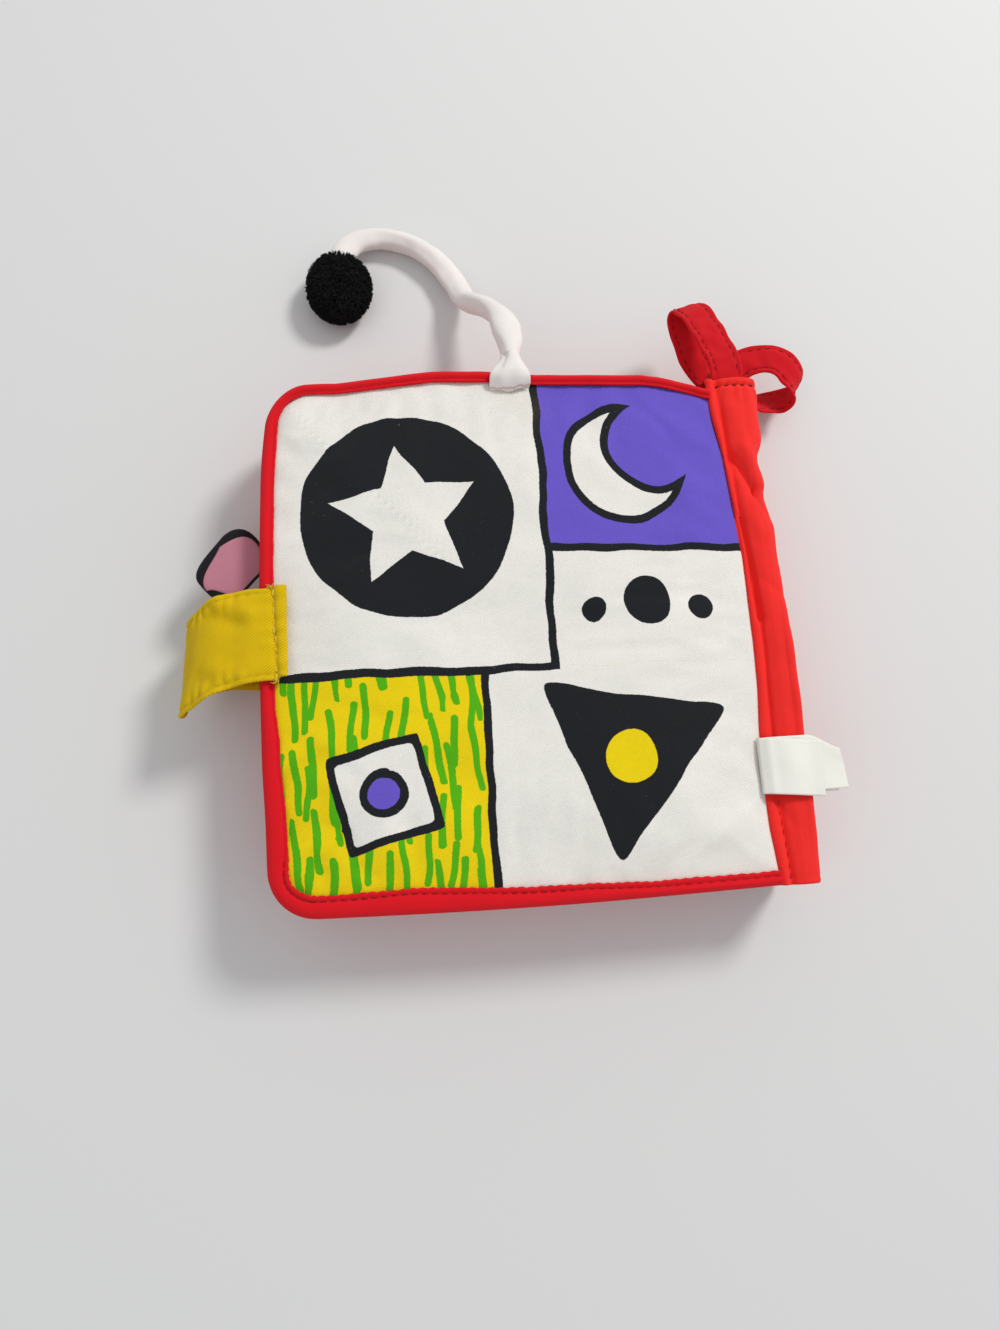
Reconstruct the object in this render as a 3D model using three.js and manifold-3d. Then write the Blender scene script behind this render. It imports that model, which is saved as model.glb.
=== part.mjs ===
// A closed baby cloth book, 150 mm square, lying on its front cover with its spine to the right.
// Millimetres, +Z up. The origin is the middle of the front cover's flat rest face.
import * as THREE from "three";
import { mergeVertices } from "three/addons/utils/BufferGeometryUtils.js";
import Module from "manifold-3d";

// Leaves
const LEAF_WIDTH = 134;
const LEAF_LENGTH = 150;
const LEAF_CORNER = 13;
const EDGE_BOW = 1;
const CROWN_HALF = 3.5;
const EDGE_HALF = 1.4;
const CROWN_RUN = 28;
const CLOTH_THICKNESS = 0.5;
const CLEARANCE = 0.3;
const LEAF_GAP = 0.3;

// Red edge binding, folded over the raw edges of each leaf
const BINDING_WIDTH = 6.5;
const BINDING_THICKNESS = 0.8;
const BINDING_EDGE_HALF = 1.3;

// Spine cloth, one half on each cover, and the gutter strips of the inner spread
const SPINE_WIDTH = 16;
const SPINE_THICKNESS = 1.2;
const SPINE_BEND = 4.5;
const SPINE_DIP = 2.4;
const SPINE_RISE_RUN = 7;
const SPINE_TOP_DROP = 1.05;
const GUTTER_THICKNESS = 1.2;
const GUTTER_END_INSET = 2;

// Closure strap
const STRAP_WIDTH = 25.5;
const STRAP_THICKNESS = 1.4;
const STRAP_SEWN_LENGTH = 7.8;
const STRAP_FLAT_LENGTH = 8;
const STRAP_END_LENGTH = 4;
const STRAP_FLOOR_GAP = 0.6;
const STRAP_SLANT = 4.5;
const STRAP_FLARE = 2.6;
const HOOK_LENGTH = 18;
const HOOK_WIDTH = 20;
const PATCH_THICKNESS = 0.9;
const LOOP_PATCH_LENGTH = 15;

// Handle tape, tail, ear and care label
const TAPE_WIDTH = 10.5;
const TAPE_THICKNESS = 1.1;
const TAPE_SEWN_LENGTH = 12;
const TAIL_DIAMETER = 7;
const TUFT_LENGTH = 25;
const TUFT_WIDTH = 21;
const TUFT_HEIGHT = 12;
const EAR_LENGTH = 19.5;
const EAR_THICKNESS = 1;
const EAR_FACE_THICKNESS = 0.7;
const EAR_BORDER = 2.2;
const LABEL_WIDTH = 15.5;
const LABEL_THICKNESS = 0.25;
const LABEL_CENTRE_Y = -43;
const LABEL_LENGTHS = { label_bottom: 24.4, label_middle: 22.6, label_top: 17.5 };

// Places worked out from the sizes
const SEAM_X = LEAF_WIDTH / 2;
const HALF_LENGTH = LEAF_LENGTH / 2;
const FORE_X = -SEAM_X - EDGE_BOW;
const HEAD_Y = HALF_LENGTH + EDGE_BOW;
const HINGE_X = SEAM_X + SPINE_WIDTH;
const LEAF_PITCH = 2 * CROWN_HALF + LEAF_GAP;
const FRONT_Z = CROWN_HALF;
const PAGE_1_Z = FRONT_Z + LEAF_PITCH;
const PAGE_2_Z = PAGE_1_Z + LEAF_PITCH;
const BACK_Z = PAGE_2_Z + LEAF_PITCH;
const STACK_HEIGHT = BACK_Z + CROWN_HALF;
const HINGE_Z = STACK_HEIGHT / 2;
const SPINE_TOP = STACK_HEIGHT - SPINE_TOP_DROP;
const CLOTH_INSET = BINDING_THICKNESS + CLEARANCE + 0.1;
const CLOTH_SEAM_X = SEAM_X - CLOTH_INSET;
const WADDING_INSET = CLOTH_INSET + 1.8;
const SPINE_GAP = LEAF_GAP / 2;

const wasm = await Module();
wasm.setup();

function finish(colour, roughness = 0.9) {
  return new THREE.MeshStandardMaterial({ color: colour, roughness, metalness: 0 });
}

const MATERIALS = {
  print: finish(0xe9e6da),
  cloth: finish(0xece7d8),
  wadding: finish(0xf7f7f4, 1),
  binding: finish(0xd8141f, 0.85),
  spine: finish(0xf2302a, 0.85),
  strap: finish(0xe0c000, 0.85),
  hook: finish(0xd8d2b8, 0.8),
  tape: finish(0xd01420, 0.8),
  label: finish(0xf4f2e8, 0.7),
  black: finish(0x222326),
  pink: finish(0xc9828f),
  jersey: finish(0xeadfdb),
};

function mesh(name, geometry, material) {
  const made = new THREE.Mesh(geometry, material);
  made.name = name;
  return made;
}

function geometryOf(positions, faces) {
  const made = new THREE.BufferGeometry();
  made.setAttribute("position", new THREE.Float32BufferAttribute(positions, 3));
  made.setIndex(faces);
  made.computeVertexNormals();
  return made;
}

// Half the thickness of a padded leaf at a distance in from its edge
function puff(inset) {
  const left = 1 - Math.min(inset / CROWN_RUN, 1);
  return EDGE_HALF + (CROWN_HALF - EDGE_HALF) * (1 - left * left);
}

// Points from one end to the other of an edge that bows outwards, the last one left out
function bowedEdge(from, to, bow, count) {
  const along = to.clone().sub(from);
  const outward = new THREE.Vector2(along.y, -along.x).normalize();
  return Array.from({ length: count }, (_, i) => {
    const t = i / count;
    return from.clone().addScaledVector(along, t).addScaledVector(outward, bow * Math.sin(Math.PI * t));
  });
}

function corner(centre, startAngle, count) {
  return Array.from({ length: count }, (_, i) => {
    const angle = startAngle + (Math.PI / 2) * (i / count);
    return new THREE.Vector2(Math.cos(angle), Math.sin(angle)).multiplyScalar(LEAF_CORNER).add(centre);
  });
}

// The leaf's outline, counter-clockwise: spine seam, head, fore edge, tail edge
const SEAM_STEPS = 5;
function leafOutline() {
  const x = SEAM_X;
  const y = HALF_LENGTH;
  const r = LEAF_CORNER;
  return [
    ...bowedEdge(new THREE.Vector2(x, -y), new THREE.Vector2(x, y), 0, SEAM_STEPS),
    ...bowedEdge(new THREE.Vector2(x, y), new THREE.Vector2(-x + r, y), EDGE_BOW, 6),
    ...corner(new THREE.Vector2(-x + r, y - r), Math.PI / 2, 4),
    ...bowedEdge(new THREE.Vector2(-x, y - r), new THREE.Vector2(-x, -y + r), EDGE_BOW, 6),
    ...corner(new THREE.Vector2(-x + r, -y + r), Math.PI, 4),
    ...bowedEdge(new THREE.Vector2(-x + r, -y), new THREE.Vector2(x, -y), EDGE_BOW, 6),
  ];
}

const OUTLINE = leafOutline();

function insetAllRound(p, inset) {
  return [p.x * (1 - inset / SEAM_X), p.y * (1 - inset / HALF_LENGTH)];
}

function insetFromFreeEdges(p, inset) {
  return [p.x + (inset * (SEAM_X - p.x)) / LEAF_WIDTH, p.y * (1 - inset / HALF_LENGTH)];
}

// A closed solid between two surfaces over the leaf's outline, made of nested rings
function ringSolid(insets, upper, lower) {
  const count = OUTLINE.length;
  const positions = [];
  const faces = [];
  const layer = (surface) => {
    insets.forEach((inset) => {
      OUTLINE.forEach((p) => positions.push(...insetAllRound(p, inset), surface(inset)));
    });
    positions.push(0, 0, surface(insets[insets.length - 1]));
  };
  layer(upper);
  layer(lower);
  const layerSize = insets.length * count + 1;
  const quad = (a, b, c, d) => faces.push(a, b, c, a, c, d);
  for (let i = 0; i < count; i++) {
    const j = (i + 1) % count;
    for (let k = 0; k + 1 < insets.length; k++) {
      const outer = k * count;
      const inner = outer + count;
      quad(outer + i, outer + j, inner + j, inner + i);
      quad(layerSize + outer + j, layerSize + outer + i, layerSize + inner + i, layerSize + inner + j);
    }
    const last = (insets.length - 1) * count;
    faces.push(last + i, last + j, layerSize - 1);
    faces.push(layerSize + last + j, layerSize + last + i, 2 * layerSize - 1);
    quad(j, i, layerSize + i, layerSize + j);
  }
  return geometryOf(positions, faces);
}

const CROWN_RINGS = [6, 14, CROWN_RUN];

function faceCloth(centreZ, side) {
  const outer = (inset) => centreZ + side * puff(inset);
  const inner = (inset) => centreZ + side * (puff(inset) - CLOTH_THICKNESS);
  const insets = [CLOTH_INSET, ...CROWN_RINGS];
  return side > 0 ? ringSolid(insets, outer, inner) : ringSolid(insets, inner, outer);
}

function wadding(centreZ) {
  const half = (inset) => puff(inset) - CLOTH_THICKNESS - CLEARANCE;
  const insets = [WADDING_INSET, ...CROWN_RINGS];
  return ringSolid(insets, (inset) => centreZ + half(inset), (inset) => centreZ - half(inset));
}

// The triangles that fill a flat outline, facing the way its points turn
function capFaces(points) {
  const normal = new THREE.Vector3();
  points.forEach((p, i) => normal.add(p.clone().cross(points[(i + 1) % points.length])));
  normal.normalize();
  const u = points[1].clone().sub(points[0]).normalize();
  const v = normal.clone().cross(u);
  const flat = points.map((p) => new THREE.Vector2(p.dot(u), p.dot(v)));
  return THREE.ShapeUtils.triangulateShape(flat, []);
}

// A section carried from point to point, closed with a cap at both ends
function loft(sections) {
  const count = sections[0].length;
  const last = (sections.length - 1) * count;
  const faces = [];
  for (let start = 0; start < last; start += count) {
    for (let i = 0; i < count; i++) {
      const a = start + i;
      const b = start + ((i + 1) % count);
      faces.push(a, b, b + count, a, b + count, a + count);
    }
  }
  capFaces(sections[0]).forEach(([a, b, c]) => faces.push(a, c, b));
  capFaces(sections[sections.length - 1]).forEach(([a, b, c]) => faces.push(last + a, last + b, last + c));
  return geometryOf(sections.flat().flatMap((p) => p.toArray()), faces);
}

// The binding's folded section: distance in from the edge, and height over the leaf's middle
function bindingSection() {
  const w = BINDING_WIDTH;
  const t = BINDING_THICKNESS;
  const under = (inset) => puff(inset) + CLEARANCE;
  const upperOutside = [[w, under(w) + t], [w / 2, under(w / 2) + t], [t / 2, under(0) + t / 2]];
  const edge = [[0, BINDING_EDGE_HALF], [0, -BINDING_EDGE_HALF]];
  const lowerOutside = upperOutside.map(([n, z]) => [n, -z]).reverse();
  const lowerInside = [[w, -under(w)], [w / 2, -under(w / 2)], [t, -under(t)]];
  const upperInside = lowerInside.map(([n, z]) => [n, -z]).reverse();
  return [...upperOutside, ...edge, ...lowerOutside, ...lowerInside, ...upperInside];
}

function binding(centreZ) {
  const section = bindingSection();
  const path = [...OUTLINE.slice(SEAM_STEPS), OUTLINE[0]];
  return loft(path.map((p) => section.map(([inset, z]) => {
    const [x, y] = insetFromFreeEdges(p, inset);
    return new THREE.Vector3(Math.min(x, CLOTH_SEAM_X), y, centreZ + z);
  })));
}

// A profile in x and z, carried along y
function extrudeAlongY(profile, fromY, toY) {
  const shape = new THREE.Shape(profile.map(([x, z]) => new THREE.Vector2(x, z)));
  const made = new THREE.ExtrudeGeometry(shape, { depth: toY - fromY, bevelEnabled: false });
  made.rotateX(Math.PI / 2);
  made.translate(0, toY, 0);
  return made;
}

// One half of the spine cloth: up from the seam, level, round the bend and down to the middle
function spineHalf(side) {
  const wallX = HINGE_X - SPINE_GAP;
  const top = SPINE_TOP - HINGE_Z;
  const start = CLOTH_SEAM_X + CLEARANCE;
  const bendX = wallX - SPINE_BEND;
  const bendZ = top - SPINE_BEND;
  const ring = (radius) => Array.from({ length: 6 }, (_, i) => {
    const angle = (Math.PI / 2) * (1 - i / 5);
    return [bendX + radius * Math.cos(angle), bendZ + radius * Math.sin(angle)];
  });
  const rise = [[start, top - SPINE_DIP + 1], [start + SPINE_RISE_RUN / 2, top - 0.5]];
  const outside = [...rise, [start + SPINE_RISE_RUN, top], ...ring(SPINE_BEND), [wallX, SPINE_GAP]];
  const inner = SPINE_BEND - SPINE_THICKNESS;
  const inside = [
    [wallX - SPINE_THICKNESS, SPINE_GAP],
    ...ring(inner).reverse(),
    [start + SPINE_RISE_RUN, top - SPINE_THICKNESS],
    ...rise.map(([x, z]) => [x, z - SPINE_THICKNESS]).reverse(),
  ];
  const profile = [...outside, ...inside].map(([x, z]) => [x, HINGE_Z + side * z]);
  return extrudeAlongY(profile, -HALF_LENGTH, HALF_LENGTH);
}

// The strip that joins a page to the fold in the middle of the spine
function gutter(centreZ, side) {
  const half = GUTTER_THICKNESS / 2;
  const start = CLOTH_SEAM_X + CLEARANCE;
  const end = HINGE_X - SPINE_GAP - SPINE_THICKNESS - CLEARANCE;
  const endZ = HINGE_Z + side * (half + SPINE_GAP + 0.1);
  const profile = [[start, centreZ - half], [end, endZ - half], [end, endZ + half], [start, centreZ + half]];
  return extrudeAlongY(profile, -HALF_LENGTH + GUTTER_END_INSET, HALF_LENGTH - GUTTER_END_INSET);
}

// A flat strip that follows a path: each step gives its centre and the direction of its width
function ribbon(steps, width, thickness) {
  const sections = steps.map(({ centre, across }, i) => {
    const before = steps[Math.max(i - 1, 0)].centre;
    const after = steps[Math.min(i + 1, steps.length - 1)].centre;
    const along = after.clone().sub(before).normalize();
    const up = along.clone().cross(across).normalize();
    const at = (u, v) => centre.clone().addScaledVector(across, u * width).addScaledVector(up, v * thickness);
    return [at(-0.5, -0.5), at(0.5, -0.5), at(0.5, 0.5), at(-0.5, 0.5)];
  });
  return loft(sections);
}

// The strap springs out from the fore edge, turns over in a half round and ends beside the book
const STRAP_HINGE_X = FORE_X - 0.6;
const STRAP_ROOT_Z = BACK_Z + puff(BINDING_WIDTH) + BINDING_THICKNESS + 2 * CLEARANCE + STRAP_THICKNESS / 2;
const STRAP_BEND = (STRAP_ROOT_Z - STRAP_FLOOR_GAP - STRAP_THICKNESS / 2 - STRAP_FLARE) / 2;
const STRAP_FREE_LENGTH = STRAP_FLAT_LENGTH + Math.PI * STRAP_BEND + STRAP_END_LENGTH;

function strapPoint(distance, v, inward) {
  const turned = THREE.MathUtils.clamp((distance - STRAP_FLAT_LENGTH) / STRAP_BEND, 0, Math.PI);
  const flat = Math.min(distance, STRAP_FLAT_LENGTH);
  const beyond = Math.max(distance - STRAP_FLAT_LENGTH - Math.PI * STRAP_BEND, 0);
  const bend = STRAP_BEND - STRAP_FLARE * v;
  const radius = bend - inward;
  const x = STRAP_HINGE_X - flat - radius * Math.sin(turned) + beyond;
  const z = STRAP_ROOT_Z - bend + radius * Math.cos(turned);
  const drift = STRAP_SLANT * THREE.MathUtils.smoothstep(distance, 0, STRAP_FREE_LENGTH * 0.8);
  return new THREE.Vector3(x, v * STRAP_WIDTH - drift, z);
}

function strapStrip(from, to, count, inward, width, thickness) {
  const v = width / STRAP_WIDTH / 2;
  const near = inward - thickness / 2;
  const far = inward + thickness / 2;
  return loft(Array.from({ length: count + 1 }, (_, i) => {
    const distance = THREE.MathUtils.lerp(from, to, i / count);
    return [[-v, near], [v, near], [v, far], [-v, far]].map(([side, depth]) => {
      return strapPoint(distance, side, depth);
    });
  }));
}

function strapSewnEnd() {
  const startX = STRAP_HINGE_X + CLEARANCE;
  const low = STRAP_ROOT_Z - STRAP_THICKNESS / 2;
  const high = STRAP_ROOT_Z + STRAP_THICKNESS / 2;
  const end = startX + STRAP_SEWN_LENGTH;
  const profile = [[startX, low], [end, low], [end, high], [startX, high]];
  return extrudeAlongY(profile, -STRAP_WIDTH / 2, STRAP_WIDTH / 2);
}

// The handle: centre x, y, z and the bearing of the tape's width in degrees
const HANDLE_X = SEAM_X + 5.5;
const HANDLE_Z = SPINE_TOP - SPINE_DIP - CLEARANCE - 0.75;
const HANDLE_ROUTE = [
  [0, 0.5, 0, 0], [0, 3, 0.3, 0], [-1.5, 8, 0.9, 6], [-5, 15, 0.4, 20], [-7.7, 23.5, -2.6, 22],
  [-8.5, 27.5, -8, 24], [-6.5, 25, -14, 28], [-1, 20.5, -17, 55], [6.5, 18, -17, 88],
  [14.5, 20, -14, 92], [22.5, 18, -11, 65], [29, 12.5, -11.5, 52], [30.8, 8.4, -15.5, 66],
  [26.5, 7.5, -19, 84], [19.5, 8, -19, 92], [12.5, 8, -17, 104], [6, 7, -12, 128],
  [2, 5.5, -6, 158], [0, 3, -2.2, 178], [0, 0.5, -1.4, 180],
];
const HANDLE_STEPS = 46;

function handleTape() {
  const centres = HANDLE_ROUTE.map(([x, y, z]) => {
    return new THREE.Vector3(HANDLE_X + x, HALF_LENGTH + y, HANDLE_Z + z);
  });
  const bearings = HANDLE_ROUTE.map((stop) => new THREE.Vector3(stop[3], 0, 0));
  const path = new THREE.CatmullRomCurve3(centres);
  const turning = new THREE.CatmullRomCurve3(bearings);
  const steps = Array.from({ length: HANDLE_STEPS + 1 }, (_, i) => {
    const bearing = THREE.MathUtils.degToRad(turning.getPoint(i / HANDLE_STEPS).x);
    return {
      centre: path.getPoint(i / HANDLE_STEPS),
      across: new THREE.Vector3(Math.cos(bearing), Math.sin(bearing), 0),
    };
  });
  return ribbon(steps, TAPE_WIDTH, TAPE_THICKNESS);
}

// The tape's two ends lie one above the other inside the spine cloth
function handleSewnEnd(level) {
  const high = HANDLE_Z + TAPE_THICKNESS / 2 - level * (TAPE_THICKNESS + CLEARANCE);
  const low = high - TAPE_THICKNESS;
  const left = HANDLE_X - TAPE_WIDTH / 2;
  const right = HANDLE_X + TAPE_WIDTH / 2;
  const endY = HALF_LENGTH + 0.5 - CLEARANCE;
  const profile = [[left, low], [right, low], [right, high], [left, high]];
  return extrudeAlongY(profile, endY - TAPE_SEWN_LENGTH, endY);
}

// The tail is sewn over the head edge of the back cover and falls to the surface beyond it
const TAIL_X = 4.9;
const TAIL_ROOT_Y = HEAD_Y - 4;
const TAIL_ROOT_Z = BACK_Z + 4.9;
const TAIL_REST_Z = TAIL_DIAMETER / 2 + 0.3;
const TAIL_ROUTE = [
  [TAIL_X, 80.7, 29.1], [5, 83.5, 28.9], [6.4, 89, 27.1], [7.4, 96.2, 22.2],
  [5, 104, 15.5], [0.4, 110.6, 9.6], [-4.2, 117, 5.2], [-8.4, 124, TAIL_REST_Z],
  [-13.6, 132, TAIL_REST_Z], [-21.5, 138.8, TAIL_REST_Z], [-31, 141.4, TAIL_REST_Z],
  [-39.4, 139.4, 4.4], [-43.6, 134.6, 5.6],
];
const TAIL_SIDES = 10;
const TAIL_STEPS = 20;

function ellipseSection(centre, halfWidth, halfHeight, sides) {
  return Array.from({ length: sides }, (_, i) => {
    const angle = (2 * Math.PI * i) / sides;
    const shift = new THREE.Vector3(halfWidth * Math.cos(angle), 0, halfHeight * Math.sin(angle));
    return centre.clone().add(shift);
  }).reverse();
}

function tailBase() {
  const r = TAIL_DIAMETER / 2;
  const at = (y, z) => new THREE.Vector3(TAIL_X, TAIL_ROOT_Y + y, TAIL_ROOT_Z + z);
  return loft([
    ellipseSection(at(0, 0), 6, 1.1, 12),
    ellipseSection(at(2.4, 0.3), 5.6, 1.5, 12),
    ellipseSection(at(5.2, 0), 4.4, 2.4, 12),
    ellipseSection(at(8.1, -1.25), r, r, 12),
  ]);
}

function tailCord() {
  const path = new THREE.CatmullRomCurve3(TAIL_ROUTE.map((p) => new THREE.Vector3(...p)));
  const section = new THREE.Shape(Array.from({ length: TAIL_SIDES }, (_, i) => {
    const angle = (2 * Math.PI * i) / TAIL_SIDES;
    return new THREE.Vector2(Math.cos(angle), Math.sin(angle)).multiplyScalar(TAIL_DIAMETER / 2);
  }));
  return new THREE.ExtrudeGeometry(section, { steps: TAIL_STEPS, extrudePath: path, bevelEnabled: false });
}

function tailTuft() {
  const made = new THREE.SphereGeometry(0.5, 16, 10);
  made.scale(TUFT_WIDTH, TUFT_LENGTH, TUFT_HEIGHT);
  const end = TAIL_ROUTE[TAIL_ROUTE.length - 1];
  made.translate(end[0] - 2, end[1] - TUFT_LENGTH / 2 - 1.2, TUFT_HEIGHT / 2 + 0.3);
  return made;
}

// The ear: a rounded flap with a flat root on the fore edge of page 2
const EAR_ROOT_X = FORE_X - 0.9;
const EAR_LOW_Y = 11.6;
const EAR_HIGH_Y = 29;
const EAR_Z = PAGE_2_Z - 0.7;

function earShape(border) {
  const root = EAR_ROOT_X - border * 0.35;
  const tip = EAR_ROOT_X - EAR_LENGTH + border;
  const low = EAR_LOW_Y + border;
  const high = EAR_HIGH_Y - border;
  const shape = new THREE.Shape();
  shape.moveTo(root, low);
  shape.lineTo(root, high);
  shape.bezierCurveTo(root - 3, high + 6, root - 8 + border, high + 7.5 - border / 2, root - 12, high + 2);
  shape.bezierCurveTo(tip + 3, high - 3, tip - 1.5, high - 7.5, tip + 1.5, high - 11);
  shape.bezierCurveTo(tip + 4, low + 3, tip + 7, low, tip + 11, low);
  shape.lineTo(root, low);
  return shape;
}

function earPlate(border, z, thickness) {
  const options = { depth: thickness, bevelEnabled: false, curveSegments: 6 };
  const made = new THREE.ExtrudeGeometry(earShape(border), options);
  made.translate(0, 0, z);
  return made;
}

// One leaf of the care label: it leaves the seam, rises over the spine cloth and lies level
function labelLeaf(level, length) {
  const pitch = LABEL_THICKNESS + CLEARANCE;
  const rootX = SEAM_X + 0.2;
  const rootZ = SPINE_TOP - SPINE_DIP + 1.6 + level * pitch;
  const flatZ = SPINE_TOP + CLEARANCE + 0.1 + level * pitch;
  const t = LABEL_THICKNESS;
  const knee = rootX + 4;
  const tip = rootX + length;
  const upper = [[tip, flatZ + t], [knee, flatZ + t], [rootX, rootZ + t]];
  const profile = [[rootX, rootZ], [knee, flatZ], [tip, flatZ], ...upper];
  return extrudeAlongY(profile, LABEL_CENTRE_Y - LABEL_WIDTH / 2, LABEL_CENTRE_Y + LABEL_WIDTH / 2);
}

// The patch that the strap fastens to is pressed into the padding, level with the rest face
const LOOP_PATCH_X = -SEAM_X + BINDING_WIDTH + CLEARANCE + LOOP_PATCH_LENGTH / 2;

function patchBlock(grow) {
  const height = PATCH_THICKNESS + 2 * grow;
  const made = new THREE.BoxGeometry(LOOP_PATCH_LENGTH + 2 * grow, HOOK_WIDTH + 2 * grow, height);
  made.translate(LOOP_PATCH_X, 0, PATCH_THICKNESS / 2);
  return made;
}

function toSolid(geometry) {
  const plain = geometry.clone();
  plain.deleteAttribute("normal");
  plain.deleteAttribute("uv");
  const merged = mergeVertices(plain, 1e-4);
  return new wasm.Manifold(new wasm.Mesh({
    numProp: 3,
    vertProperties: merged.attributes.position.array,
    triVerts: new Uint32Array(merged.index.array),
  }));
}

function without(geometry, tool) {
  const cut = toSolid(geometry).subtract(toSolid(tool)).getMesh();
  return geometryOf(Array.from(cut.vertProperties), Array.from(cut.triVerts));
}

// One padded leaf: a face cloth on each side, wadding between them, and the binding round them
function leaf(name, z, lowerName, upperName, lowerMaterial, upperMaterial, pocket) {
  const group = new THREE.Group();
  const opened = (geometry) => (pocket ? without(geometry, pocket) : geometry);
  group.add(
    mesh(lowerName, opened(faceCloth(z, -1)), lowerMaterial),
    mesh(upperName, faceCloth(z, 1), upperMaterial),
    mesh(`${name}_wadding`, opened(wadding(z)), MATERIALS.wadding),
    mesh(`${name}_binding`, binding(z), MATERIALS.binding),
  );
  return group;
}

function frontCover() {
  const pocket = patchBlock(CLEARANCE);
  const names = ["front_outer_cloth", "front_inner_cloth"];
  const group = leaf("front", FRONT_Z, ...names, MATERIALS.print, MATERIALS.cloth, pocket);
  group.add(
    mesh("front_spine_half", spineHalf(-1), MATERIALS.spine),
    mesh("loop_patch", patchBlock(0), MATERIALS.hook),
  );
  return group;
}

function page(name, z, side) {
  const names = [`${name}_lower_cloth`, `${name}_upper_cloth`];
  const group = leaf(name, z, ...names, MATERIALS.cloth, MATERIALS.cloth);
  group.add(mesh(`${name}_gutter`, gutter(z, side), MATERIALS.spine));
  return group;
}

function backCover() {
  const names = ["back_inner_cloth", "back_outer_cloth"];
  const group = leaf("back", BACK_Z, ...names, MATERIALS.cloth, MATERIALS.print);
  group.add(
    mesh("back_spine_half", spineHalf(1), MATERIALS.spine),
    mesh("strap_sewn_end", strapSewnEnd(), MATERIALS.strap),
    mesh("handle_sewn_end_upper", handleSewnEnd(0), MATERIALS.tape),
    mesh("handle_sewn_end_lower", handleSewnEnd(1), MATERIALS.tape),
  );
  return group;
}

function closureStrap() {
  const group = new THREE.Group();
  const strap = strapStrip(0, STRAP_FREE_LENGTH, 24, 0, STRAP_WIDTH, STRAP_THICKNESS);
  const inward = (STRAP_THICKNESS + PATCH_THICKNESS) / 2 + CLEARANCE;
  const hookEnd = STRAP_FREE_LENGTH - 1;
  const hook = strapStrip(hookEnd - HOOK_LENGTH, hookEnd, 10, inward, HOOK_WIDTH, PATCH_THICKNESS);
  group.add(mesh("closure_strap", strap, MATERIALS.strap), mesh("hook_patch", hook, MATERIALS.hook));
  return group;
}

function careLabel() {
  const group = new THREE.Group();
  Object.entries(LABEL_LENGTHS).forEach(([name, length], level) => {
    group.add(mesh(name, labelLeaf(level, length), MATERIALS.label));
  });
  return group;
}

function ear() {
  const group = new THREE.Group();
  const faceZ = EAR_Z + EAR_THICKNESS + CLEARANCE;
  group.add(
    mesh("ear_back", earPlate(0, EAR_Z, EAR_THICKNESS), MATERIALS.black),
    mesh("ear_face", earPlate(EAR_BORDER, faceZ, EAR_FACE_THICKNESS), MATERIALS.pink),
  );
  return group;
}

function tail() {
  const group = new THREE.Group();
  group.add(
    mesh("tail_base", tailBase(), MATERIALS.jersey),
    mesh("tail_cord", tailCord(), MATERIALS.jersey),
    mesh("tail_tuft", tailTuft(), MATERIALS.black),
  );
  return group;
}

const book = new THREE.Group();
book.add(
  frontCover(),
  page("page_1", PAGE_1_Z, -1),
  page("page_2", PAGE_2_Z, 1),
  backCover(),
  closureStrap(),
  careLabel(),
  ear(),
  mesh("handle_tape", handleTape(), MATERIALS.tape),
  tail(),
);

export default book;
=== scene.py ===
"""A closed cloth book on its front cover, with its spine, strap, handle, label, ear and tail.

Lengths in the functions are millimetres in the part's own frame; meshes are stored in metres.
"""
import math
import random
from functools import reduce

import bmesh
import bpy
import numpy as np
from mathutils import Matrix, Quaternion, Vector, noise


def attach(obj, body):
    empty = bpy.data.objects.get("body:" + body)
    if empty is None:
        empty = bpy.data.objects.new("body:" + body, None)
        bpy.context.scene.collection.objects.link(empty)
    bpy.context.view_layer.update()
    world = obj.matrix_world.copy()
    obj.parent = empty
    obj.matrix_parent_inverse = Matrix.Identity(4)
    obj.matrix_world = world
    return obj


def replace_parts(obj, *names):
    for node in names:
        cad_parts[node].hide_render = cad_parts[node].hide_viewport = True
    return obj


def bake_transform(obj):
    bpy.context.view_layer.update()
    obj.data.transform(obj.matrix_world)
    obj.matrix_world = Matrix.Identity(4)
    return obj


MM = 0.001
TURN = 2 * math.pi
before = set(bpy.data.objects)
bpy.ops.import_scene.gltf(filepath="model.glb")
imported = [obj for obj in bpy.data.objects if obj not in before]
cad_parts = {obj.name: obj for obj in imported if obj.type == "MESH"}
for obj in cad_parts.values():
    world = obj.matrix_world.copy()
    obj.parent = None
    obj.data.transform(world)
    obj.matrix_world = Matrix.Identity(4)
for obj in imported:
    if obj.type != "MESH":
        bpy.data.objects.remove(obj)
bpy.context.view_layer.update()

# Sizes of the book, as in the solids
SEAM_X = 67.0
HALF_LENGTH = 75.0
CORNER = 13.0
EDGE_BOW = 1.0
CROWN_HALF = 3.5
EDGE_HALF = 1.4
CROWN_RUN = 28.0
CLOTH_INSET = 1.2
LEAF_Z = {"front": 3.5, "page_1": 10.8, "page_2": 18.1, "back": 25.4}
LEAF_BODY = {"front": "front_cover", "page_1": "page_1", "page_2": "page_2", "back": "back_cover"}
HINGE_X = 83.0
HINGE_Z = 14.45


# ---------------------------------------------------------------- camera, lights, floor

# The camera fitted to the photograph: its lens and place in mm and its turn as a vector in radians
LENS = 22.74
CAMERA_PLACE = (-29.0, -55.19, 254.42)
CAMERA_TURN = (0.19587, -0.10643, -0.05268)
FLOOR_HALF = 3.0
FLOOR_Z = -0.0003
FLOOR_GREY = (0.72, 0.72, 0.71, 1)
SKY = (0.95, 0.97, 1.0, 1)


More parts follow.
